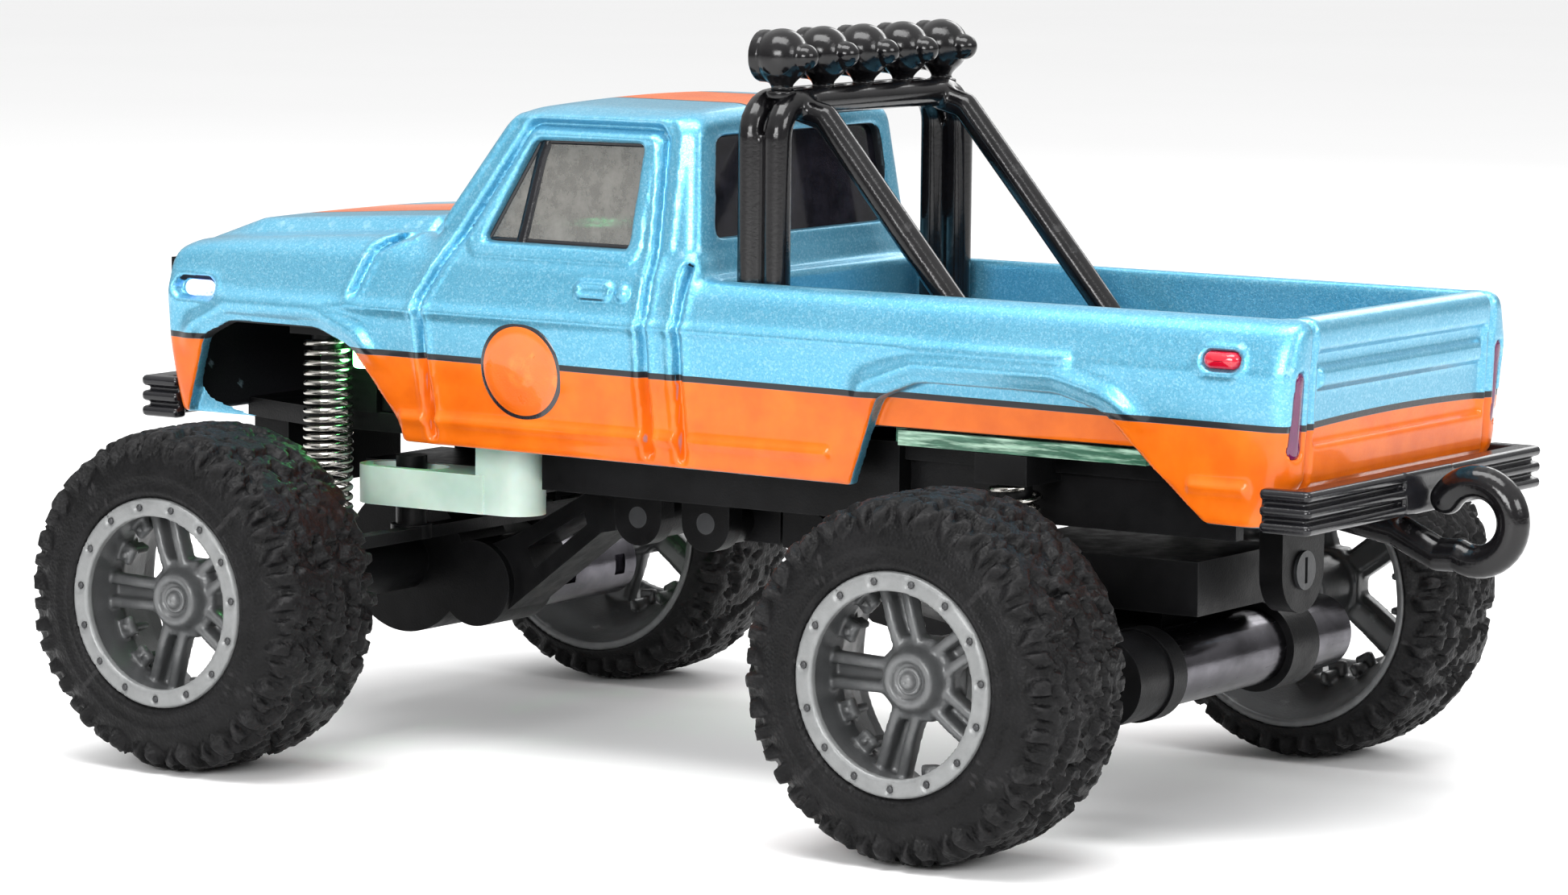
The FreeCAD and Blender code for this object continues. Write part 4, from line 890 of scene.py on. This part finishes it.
def bumper(y0, y1, y_wrap, z0, z1, half, plate, step):
    """Bar with three half-round ribs, a flat plate in the middle and ends that wrap round the corner."""
    way = 1 if y1 > y0 else -1
    low, (X, Y, Z) = grid((-step / 2, min(y_wrap, y1) - 0.4, z0 - 0.4),
                          (half + 0.4, max(y_wrap, y1) + 0.4, z1 + 0.4), step)

    def block(x0, x1, ya, yb, za, zb, r):
        return rounded_box(X, Y, Z, (x0, min(ya, yb), za), (x1, max(ya, yb), zb), r)

    core_y = y1 - 0.4 * way
    field = block(-half, half - 0.35, y0, core_y, z0 + 0.05, z1 - 0.05, 0.1)
    field = np.minimum(field, block(half - 0.9, half - 0.35, y_wrap, core_y, z0 + 0.05, z1 - 0.05, 0.1))
    field = np.minimum(field, block(-plate, plate, y0, y1, z0, z1, 0.14))
    rib = (z1 - z0 - 0.5) / 3
    for i in range(3):
        a = z0 + i * (rib + 0.25)
        ribs = np.minimum(block(-half, half, y0, y1, a, a + rib, 0.28),
                          block(half - 0.9, half, y_wrap, y1, a, a + rib, 0.28))
        field = smooth_min(field, ribs, 0.08)
    points, faces, normals, cells = surface(field, low, step)
    return both_halves(points, faces, normals, cells)


def tow_hook(step):
    """Round bar that leaves under the bumper and curls up and over; its foot is a flat tab."""
    low, (X, Y, Z) = grid((-2.0, 33.6, 13.7), (2.0, 47.6, 20.5), step)
    turns = np.radians(np.linspace(-118, 148, 28))
    path = [(0, 35.0, 17.0), (0, 39.6, 16.2), (0, 42.0, 15.1)]
    path += [(0, 44.2 + 2.1 * math.cos(a), 17.0 + 2.1 * math.sin(a)) for a in turns]
    field = chain(X, Y, Z, path, 0.88)
    field = smooth_min(field, rounded_box(X, Y, Z, (-1.6, 34.0, 16.2), (1.6, 36.6, 17.4), 0.2), 0.3)
    return surface(field, low, step)[:3]


def under_lamp(parts, step):
    """Rounded blocks on both sides of the truck."""
    low, (X, Y, Z) = grid((-step / 2, -23.0, 18.2), (10.4, -19.4, 24.6), step)
    field = np.minimum.reduce([rounded_box(X, Y, Z, a, b, r) for a, b, r in parts])
    points, faces, normals, cells = surface(field, low, step)
    return both_halves(points, faces, normals, cells)


RIB_STEP = 0.13
points, faces, normals = bumper(40.0, 41.4, 38.4, 17.3, 19.6, 13.2, 2.7, RIB_STEP)
add_piece("bumper_rear", points, faces, "trim_black", "chassis", ("rear_bumper",), normals)
points, faces, normals = bumper(-35.2, -36.6, -33.9, 17.9, 20.3, 11.0, 2.7, RIB_STEP)
add_piece("bumper_front", points, faces, "trim_black", "chassis", ("front_bumper",), normals)
points, faces, normals = tow_hook(RIB_STEP)
add_piece("hook_rear", points, faces, "gloss_black", "chassis", ("tow_hook",), normals)
LAMP_BLOCK = [((8.65, -22.2, 21.5), (9.7, -21.2, 23.5), 0.25)]
LAMP_STALK = [((6.7, -21.9, 18.8), (7.3, -20.2, 23.6), 0.12), ((7.1, -21.9, 22.8), (8.75, -21.3, 23.4), 0.12)]
for name, parts, finish in (("under_lamps", LAMP_BLOCK, "green_led"),
                            ("under_lamp_stalks", LAMP_STALK, "black_plastic")):
    points, faces, normals = under_lamp(parts, RIB_STEP)
    add_piece(name, points, faces, finish, "chassis", ("led_modules",), normals)


# ---------------------------------------------------------------- window bars and door badge

def on_cab_side(y, z, out, sign):
    """Point a little outside the cab side at a height."""
    return (sign * (np.interp(z, [t[0] for t in CAB_X], [t[1] for t in CAB_X]) + out), y, z)


def strip(path, width, out, depth, sign):
    """Flat rounded strip following a line on the cab side."""
    rings = []
    for i, (y, z) in enumerate(path):
        y0, z0 = path[max(i - 1, 0)]
        y1, z1 = path[min(i + 1, len(path) - 1)]
        run = math.hypot(y1 - y0, z1 - z0)
        ny, nz = (z1 - z0) / run * width / 2, -(y1 - y0) / run * width / 2
        for a, b in ((-1, 0), (-0.8, 1), (0.8, 1), (1, 0), (0.8, -1), (-0.8, -1)):
            rings.append(on_cab_side(y + a * ny, z + a * nz, out + depth * (b - 1) / 2, sign))
    return np.array(rings), ring_faces(len(path), 6)


bars = []
for sign in (1, -1):
    divider = [(-9.75 + 0.2 * t, 29.3 + 1.2 * t) for t in range(5)] + [(-8.75, 34.7), (-8.7, 35.2)]
    bars.append(strip(divider, 0.75, -0.38, 0.4, sign))
    trim = SIDE_WINDOW + SIDE_WINDOW[:1]
    for (y0, z0), (y1, z1) in zip(trim, trim[1:]):
        line = [(y0 + (y1 - y0) * t, z0 + (z1 - z0) * t) for t in np.linspace(0, 1, 9)]
        bars.append(strip(line, 0.46, -0.42, 0.3, sign))
points, faces = merge(bars)
add_piece("window_bars", points, faces, "trim_black", "chassis")


def badge(sign):
    """Plain two-colour disc printed on the door."""
    parts = []
    for scale, lift in ((1.0, 0.02), (0.93, 0.035)):
        rings = []
        for r in (0.0, 0.25, 0.5, 0.75, 0.97, 1.0):
            for a in np.linspace(0, 2 * math.pi, 72, endpoint=False):
                y = -8.6 + 2.75 * scale * r * math.cos(a)
                z = 22.4 + 2.75 * scale * r * math.sin(a)
                side = np.interp(z, [t[0] for t in SIDE_X], [t[1] for t in SIDE_X])
                rings.append((sign * (side + lift - (0.06 if r == 1.0 else 0.0)), y, z))
        parts.append((np.array(rings), ring_faces(6, 72)))
    return parts


for hand, sign in TRACK.items():
    for name, (points, faces) in zip(("badge_edge_", "badge_face_"), badge(sign)):
        finish = "badge_dark" if name == "badge_edge_" else "badge_orange"
        faces = faces if sign < 0 else faces[:, ::-1]
        add_piece(name + hand, points, faces, finish, "chassis")


# ---------------------------------------------------------------- lamps in the shell

def side_dome(y, z, half, r, rise, sign):
    """Rounded pill lens standing a little proud of the body side."""
    rings = []
    base = np.interp(z, [t[0] for t in SIDE_X], [t[1] for t in SIDE_X]) * (0.972 if y < 0 else 1.0)
    for level, shrink in ((-0.9, 1.0), (-0.25, 1.0), (0.0, 0.97), (0.55, 0.80), (0.85, 0.52), (1.0, 0.02)):
        for a in np.linspace(0, 2 * math.pi, 40, endpoint=False):
            straight = half * (0.4 + 0.6 * shrink)
            dy = r * shrink * math.cos(a) + (straight if math.cos(a) > 0 else -straight)
            rings.append((sign * (base - 0.12 + rise * level), y + dy, z + r * shrink * math.sin(a)))
    return np.array(rings), ring_faces(6, 40)


def rear_face(x, z):
    """Y of the rear face, which rounds into the side near the corner."""
    beyond = x - np.interp(z, [t[0] for t in SIDE_X], [t[1] for t in SIDE_X])
    low, high = -1.5, 0.5
    for _ in range(24):
        middle = (low + high) / 2
        low, high = (low, middle) if smooth_max(beyond, middle, 1.3) > 0 else (middle, high)
    return np.interp(z, (19.6, 27.6), (39.5, 39.9)) + middle


def tail_slot(sign):
    """Slim upright lamp let into the rear face beside the tailgate."""
    rings = []
    for level, shrink in ((-0.4, 1.0), (0.0, 1.0), (0.06, 0.8), (0.08, 0.02)):
        for a in np.linspace(0, 2 * math.pi, 40, endpoint=False):
            x = 11.1 + 0.42 * shrink * math.cos(a)
            z = 23.15 + 0.42 * shrink * math.sin(a) + (1.85 if math.sin(a) > 0 else -1.85) * (0.5 + 0.5 * shrink)
            rings.append((sign * x, rear_face(x, z) - 0.17 + level, z))
    return np.array(rings), ring_faces(4, 40)


for hand, sign in TRACK.items():
    turn = slice(None, None, 1 if sign < 0 else -1)
    points, faces = side_dome(-31.55, 25.7, 0.55, 0.46, 0.30, sign)
    add_piece("marker_front_" + hand, points, faces[:, turn], "clear_lens", "chassis",
              ("front_lamp_lenses",))
    points, faces = side_dome(35.6, 25.85, 0.62, 0.46, 0.42, sign)
    add_piece("marker_rear_" + hand, points, faces[:, turn], "red_lens", "chassis", ("rear_lamp_lenses",))
    points, faces = tail_slot(sign)
    add_piece("tail_lamp_" + hand, points, faces, "tail_lens", "chassis", ("rear_lamp_lenses",))
    profile = [(-34.3, 1.3), (-34.65, 1.3), (-34.85, 1.12), (-35.0, 0.75), (-35.05, 0.01), (-34.3, 0.01)]
    points, faces = revolve(profile, (sign * 8.2, 0, 25.2), 48, "y")
    add_piece("headlamp_" + hand, points, faces, "head_lens", "chassis", ("front_lamp_lenses",))


# ---------------------------------------------------------------- wheels

def rim_surface(step):
    """One wheel facing +X about its own axis: bolted ring, deep dish, paired spokes, boss."""
    along = np.arange(16.0, 25.7, step)
    across = np.arange(-7.9, 7.95, step)
    X, Y, Z = along[:, None, None], across[None, :, None], across[None, None, :]
    radius = np.hypot(Y, Z)
    r_table = np.arange(0.0, 11.4, 0.05)
    u, v = np.meshgrid(along, r_table, indexing="ij")
    barrel = [(25.1, 4.8), (25.1, 5.7), (24.9, 5.85), (22.0, 5.85), (18.0, 7.1), (16.8, 7.6), (16.3, 7.6),
              (16.3, 7.15), (17.8, 6.7), (21.2, 5.45), (24.2, 5.2), (24.6, 4.8)]
    boss = [(17.4, -1.0), (17.4, 1.9), (22.6, 1.9), (22.75, 1.75), (23.25, 1.55), (23.5, 1.4), (23.5, 1.02),
            (23.2, 0.92), (23.2, -1.0)]
    turned = np.minimum(outline(u, v, barrel), outline(u, v, boss))

    def spun(table):
        place_r = radius / 0.05
        base = np.minimum(place_r.astype(int), len(r_table) - 2)
        part = (place_r - base)[0][None]
        rows = table[:, base[0]] if base.ndim == 3 else table[:, base]
        nxt = table[:, base[0] + 1]
        return rows * (1 - part) + nxt * part

    field = spun(turned)
    for i in range(5):
        a = math.radians(72 * i + 36)
        out = Y * math.cos(a) + Z * math.sin(a)
        off = -Y * math.sin(a) + Z * math.cos(a)
        spread = 0.56 + 0.02 * out
        ramp = 22.75 - 0.10 * np.maximum(out - 3.2, 0.0)
        bar = np.hypot(np.maximum(np.abs(np.abs(off) - spread) - 0.08, 0.0),
                       np.maximum(np.abs(X - ramp + 0.55) - 0.3, 0.0)) - 0.22
        bar = np.maximum(bar, np.abs(out - 3.4) - 2.25)
        web = np.maximum(np.maximum(np.abs(off) - spread, np.abs(X - 21.5) - 0.2), np.abs(out - 3.4) - 2.2)
        field = smooth_min(field, np.minimum(bar, web), 0.1)
        for side in (-1, 1):
            b = a + side * math.radians(25)
            out = Y * math.cos(b) + Z * math.sin(b)
            off = -Y * math.sin(b) + Z * math.cos(b)
            tab = np.maximum(np.maximum(np.abs(off) - 0.55, np.abs(X - 21.9) - 0.28), np.abs(out - 5.0) - 0.55)
            stud = np.maximum(np.hypot(off, out - 4.85) - 0.22, np.abs(X - 22.15) - 0.25)
            foot = np.maximum(np.maximum(np.abs(off) - 0.22, np.abs(X - 20.9) - 0.9), np.abs(out - 5.25) - 0.35)
            field = smooth_min(field, np.minimum(np.minimum(tab, stud), foot), 0.12)
    for i in range(15):
        a = math.radians(24 * i + 6)
        hole = np.hypot(Y - 5.34 * math.cos(a), Z - 5.34 * math.sin(a))
        field = smooth_max(field, -np.maximum(hole - 0.27, 24.93 - X), 0.06)
    facets = np.maximum.reduce([Y * math.cos(k * math.pi / 4) + Z * math.sin(k * math.pi / 4) for k in range(8)])
    hub = np.maximum(np.maximum(facets - 2.15, X - 22.55), 21.0 - X)
    field = smooth_min(field, hub, 0.1)
    shaft = np.maximum(radius - 0.75, X - 22.0)
    field = np.maximum(field, -shaft)
    low = (along[0], across[0], across[0])
    points, faces, normals, _ = surface(field, low, step)
    return points, faces, unit(relax(points, faces, normals, 1))


def tyre_surface(seed):
    """Tyre facing +X: smooth sidewalls, irregular chunky blocks on tread and shoulders."""
    rng = np.random.default_rng(seed)
    outer = [(24.85, 5.83), (25.02, 5.95), (25.08, 6.25), (24.98, 6.6), (25.0, 7.1), (24.92, 7.7), (24.7, 8.15),
             (24.3, 8.5), (23.6, 8.66), (22.4, 8.76), (20.8, 8.8), (19.2, 8.76), (18.0, 8.66), (17.2, 8.45),
             (16.6, 8.1), (16.28, 7.75), (16.3, 7.62)]
    inner = [(16.8, 7.6), (18.0, 7.1), (20.0, 6.47), (22.0, 5.85), (23.5, 5.85)]
    knots = np.array(outer)
    length = np.concatenate([[0], np.cumsum(np.hypot(*np.diff(knots, axis=0).T))])
    rows = 78
    s = np.linspace(0, length[-1], rows)
    curve = np.stack([np.interp(s, length, knots[:, i]) for i in range(2)], 1)
    for _ in range(3):
        curve[1:-1] = (curve[:-2] + 2 * curve[1:-1] + curve[2:]) / 4
    slope = np.gradient(curve, axis=0)
    slope /= np.linalg.norm(slope, axis=1)[:, None]
    away = np.stack([-slope[:, 1], slope[:, 0]], 1)
    away *= np.sign((away * (curve - (20.8, 7.2))).sum(1))[:, None]
    columns = 540
    theta = np.linspace(0, 2 * math.pi, columns, endpoint=False)
    mid = s[np.argmin(np.abs(curve[:, 0] - 20.8) + 10 * (curve[:, 1] < 7.5))]
    across = (s - mid)[:, None]

    def blotches(size):
        """Random relief that closes on itself around the tyre, in units of its own spread."""
        wide = np.fft.fftfreq(rows, s[1] - s[0])[:, None]
        round_ = np.fft.fftfreq(columns, 2 * math.pi * 9.2 / columns)[None, :]
        soften = np.exp(-(wide ** 2 + round_ ** 2) * (math.pi * size) ** 2 * 2)
        field = np.fft.ifft2(np.fft.fft2(rng.standard_normal((rows, columns))) * soften).real
        return field / field.std()

    coarse, fine = blotches(0.30), blotches(0.12)
    islands = soft((coarse + 0.35 * fine + 0.75) / 0.7)
    pits = soft((blotches(0.17) - 1.15) / 0.5)
    tread = 0.42 + 0.36 * islands - 0.26 * pits + 0.03 * fine
    lug_angle = theta[None, :] * 44 + 2.2 * np.sign(across) + 0.5 * blotches(0.9)
    lugs = soft((np.sin(lug_angle) + 0.55) / 0.6)
    reach = 4.25 + 0.30 * np.sin(theta[None, :] * 22 + 1.0)
    shoulder = soft((reach - np.abs(across)) / 0.45)
    middle = soft((3.55 - np.abs(across)) / 0.5)
    lift = middle * tread + (1 - middle) * shoulder * (0.16 + 0.50 * lugs + 0.05 * coarse * lugs)
    rings = 0.07 * ridge(np.abs(across) - 6.1, 0.14) + 0.05 * ridge(np.abs(across) - 5.2, 0.12)
    lift = np.clip(lift + rings, 0.0, 0.84)
    ring = np.repeat(curve[:, None, :], columns, 1) + away[:, None, :] * lift[:, :, None]
    ring[:, :, 1] = np.minimum(ring[:, :, 1], 9.6)
    back = np.repeat(np.array(inner)[:, None, :], columns, 1)
    ring = np.concatenate([ring, back])
    points = np.stack([ring[:, :, 0], ring[:, :, 1] * np.cos(theta), ring[:, :, 1] * np.sin(theta)], -1)
    return points.reshape(-1, 3), ring_faces(len(ring), columns, closed_rows=True)


def flipped(points, faces, normals=None):
    mirror = np.array([-1.0, 1.0, 1.0])
    return points * mirror, faces[:, ::-1], None if normals is None else normals * mirror


rim_points, rim_faces, rim_normals = rim_surface(0.20)
ring_bolts = []
for i in range(15):
    a = math.radians(24 * i + 6)
    ring_bolts.append(revolve([(24.8, 0.01), (24.8, 0.2), (25.0, 0.2), (25.06, 0.15), (25.08, 0.01)],
                              (0, 5.34 * math.cos(a), 5.34 * math.sin(a)), 8))
bolt_points, bolt_faces = merge(ring_bolts)

screw_points, screw_faces = revolve([(22.9, 0.01), (22.9, 0.72), (23.3, 0.72), (23.38, 0.66), (23.38, 0.56),
                                     (23.3, 0.52), (23.36, 0.48), (23.56, 0.40), (23.68, 0.24), (23.72, 0.01)],
                                    (0, 0, 0), 40)

for end, y in AXLE_Y.items():
    for hand, sign in TRACK.items():
        body = "wheel_front_" + hand if end == "front" else "rear_wheels"
        label = end + "_" + hand
        tyre_points, tyre_faces = tyre_surface(11 + len(label))
        spot = np.array([0.0, y, WHEEL_Z])
        p, f, n = (rim_points, rim_faces, rim_normals) if sign > 0 else flipped(rim_points, rim_faces, rim_normals)
        add_piece("wheel_" + label, p + spot, f, "wheel_grey", body, ("rim_" + label,), n)
        p, f, n = (bolt_points, bolt_faces, None) if sign > 0 else flipped(bolt_points, bolt_faces)
        add_piece("ring_bolts_" + label, p + spot, f, "bolt_grey", body)
        p, f, n = (screw_points, screw_faces, None) if sign > 0 else flipped(screw_points, screw_faces)
        add_piece("hub_screw_" + label, p + spot, f, "wheel_grey", body, ("wheel_screw_" + label,))
        p, f, n = (tyre_points, tyre_faces, None) if sign > 0 else flipped(tyre_points, tyre_faces)
        add_piece("tread_" + label, p + spot, f[:, ::-1], "tyre_rubber", body, ("tyre_" + label,))


# ---------------------------------------------------------------- dark inner wall, painted shade

def shade_liner(step):
    """Ribbed wall between the right-hand arch and the middle of the truck, under the hood: a dark sheet on one
    side only, standing in for painted shade inside the front end.
    """
    low, (X, Y, Z) = grid((-7.0, -32.6, 16.4), (-5.4, -10.0, 25.8), step)
    wall = np.maximum(np.maximum(np.abs(X + 6.15) - 0.25, np.abs(Y + 21.35) - 10.4), np.abs(Z - 21.05) - 4.05)
    ribs = np.maximum(np.abs((Y + 22.2 + 1.2) % 2.4 - 1.2) - 0.3, np.abs(X + 6.35) - 0.35)
    ribs = np.maximum(np.maximum(ribs, np.abs(Z - 21.05) - 3.7), np.abs(Y + 21.35) - 10.1)
    points, faces, normals, _ = surface(smooth_min(wall, ribs, 0.2), low, step)
    return points, faces, normals


# painted shade: black wall inside the front end
points, faces, normals = shade_liner(0.2)
add_piece("shade_liner", points, faces, "black_plastic", "chassis", (), normals)


# ---------------------------------------------------------------- springs

def coil(x, y, z0, z1, radius, wire, pitch):
    """Compression spring wound between two heights."""
    turns = (z1 - z0) / pitch
    t = np.linspace(0, turns, int(turns * 26))
    rise = t / turns
    rise = rise + 0.012 * np.sin(rise * 2 * math.pi)
    path = np.stack([x + radius * np.cos(2 * math.pi * t), y + radius * np.sin(2 * math.pi * t),
                     z0 + wire + (z1 - z0 - 2 * wire) * rise], 1)
    return tube(path, wire, 8)


for hand, sign in TRACK.items():
    for end, y, top, radius, wire, pitch in (("front", -24.0, 23.4, 1.28, 0.17, 0.56),
                                             ("rear", 21.8, 18.3, 1.27, 0.16, 0.70)):
        points, faces = coil(sign * 9.5, y, 11.9, top, radius, wire, pitch)
        spring = add_piece("coil_%s_%s" % (end, hand), points, faces, "spring_steel", None,
                           ("%s_spring_%s" % (end, hand),))
        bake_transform(spring)


# ---------------------------------------------------------------- CAD nodes that stay

FINISH = {
    "black_plastic": ["chassis_frame", "front_axle_case", "front_axle_tube", "front_arm", "rear_axle_case",
                      "rear_axle_tube", "rear_arm", "rear_motor_cap", "knuckle_left", "knuckle_right", "tie_rod",
                      "front_yoke", "rear_yoke", "servo_case", "switch_housing", "switch_slider", "charge_socket",
                      "grille_insert"],
    "head_lens": ["lamp_lenses"],
    "bolt_grey": ["pivot_pins", "body_screws"],
    "steel": ["kingpins", "stub_left", "stub_right", "front_drive_shaft",
              "rear_axle_shaft"],
    "motor_can": ["front_motor", "rear_motor", "rear_gearbox"],
    "brass_gear": ["front_pinion", "rear_pinion"],
    "white_nylon": ["servo_horn"],
    "board": ["circuit_board"],
    "battery_wrap": ["battery"],
}
for finish, names in FINISH.items():
    for name in names:
        node = nodes[name]
        node.data.materials.clear()
        node.data.materials.append(MATERIALS[finish])
        if finish in ("black_plastic", "white_nylon"):
            edge = node.modifiers.new("soft_edges", "BEVEL")
            edge.width, edge.segments, edge.limit_method = 0.00010, 2, "ANGLE"
            edge.angle_limit = math.radians(40)
            edge.harden_normals = True


# ---------------------------------------------------------------- floor

def floor():
    m = Paint("studio_floor", Roughness=0.6)
    m.shade(m.mix(m.noise(14.0, 2.0), (0.90, 0.90, 0.90), (0.93, 0.93, 0.93)))
    mesh = bpy.data.meshes.new("floor")
    half, z = 8.0, -0.00002
    mesh.from_pydata([(-half, -half, z), (half, -half, z), (half, half, z), (-half, half, z)], [], [(0, 1, 2, 3)])
    mesh.materials.append(m.material)
    plane = bpy.data.objects.new("floor", mesh)
    bpy.context.collection.objects.link(plane)


floor()
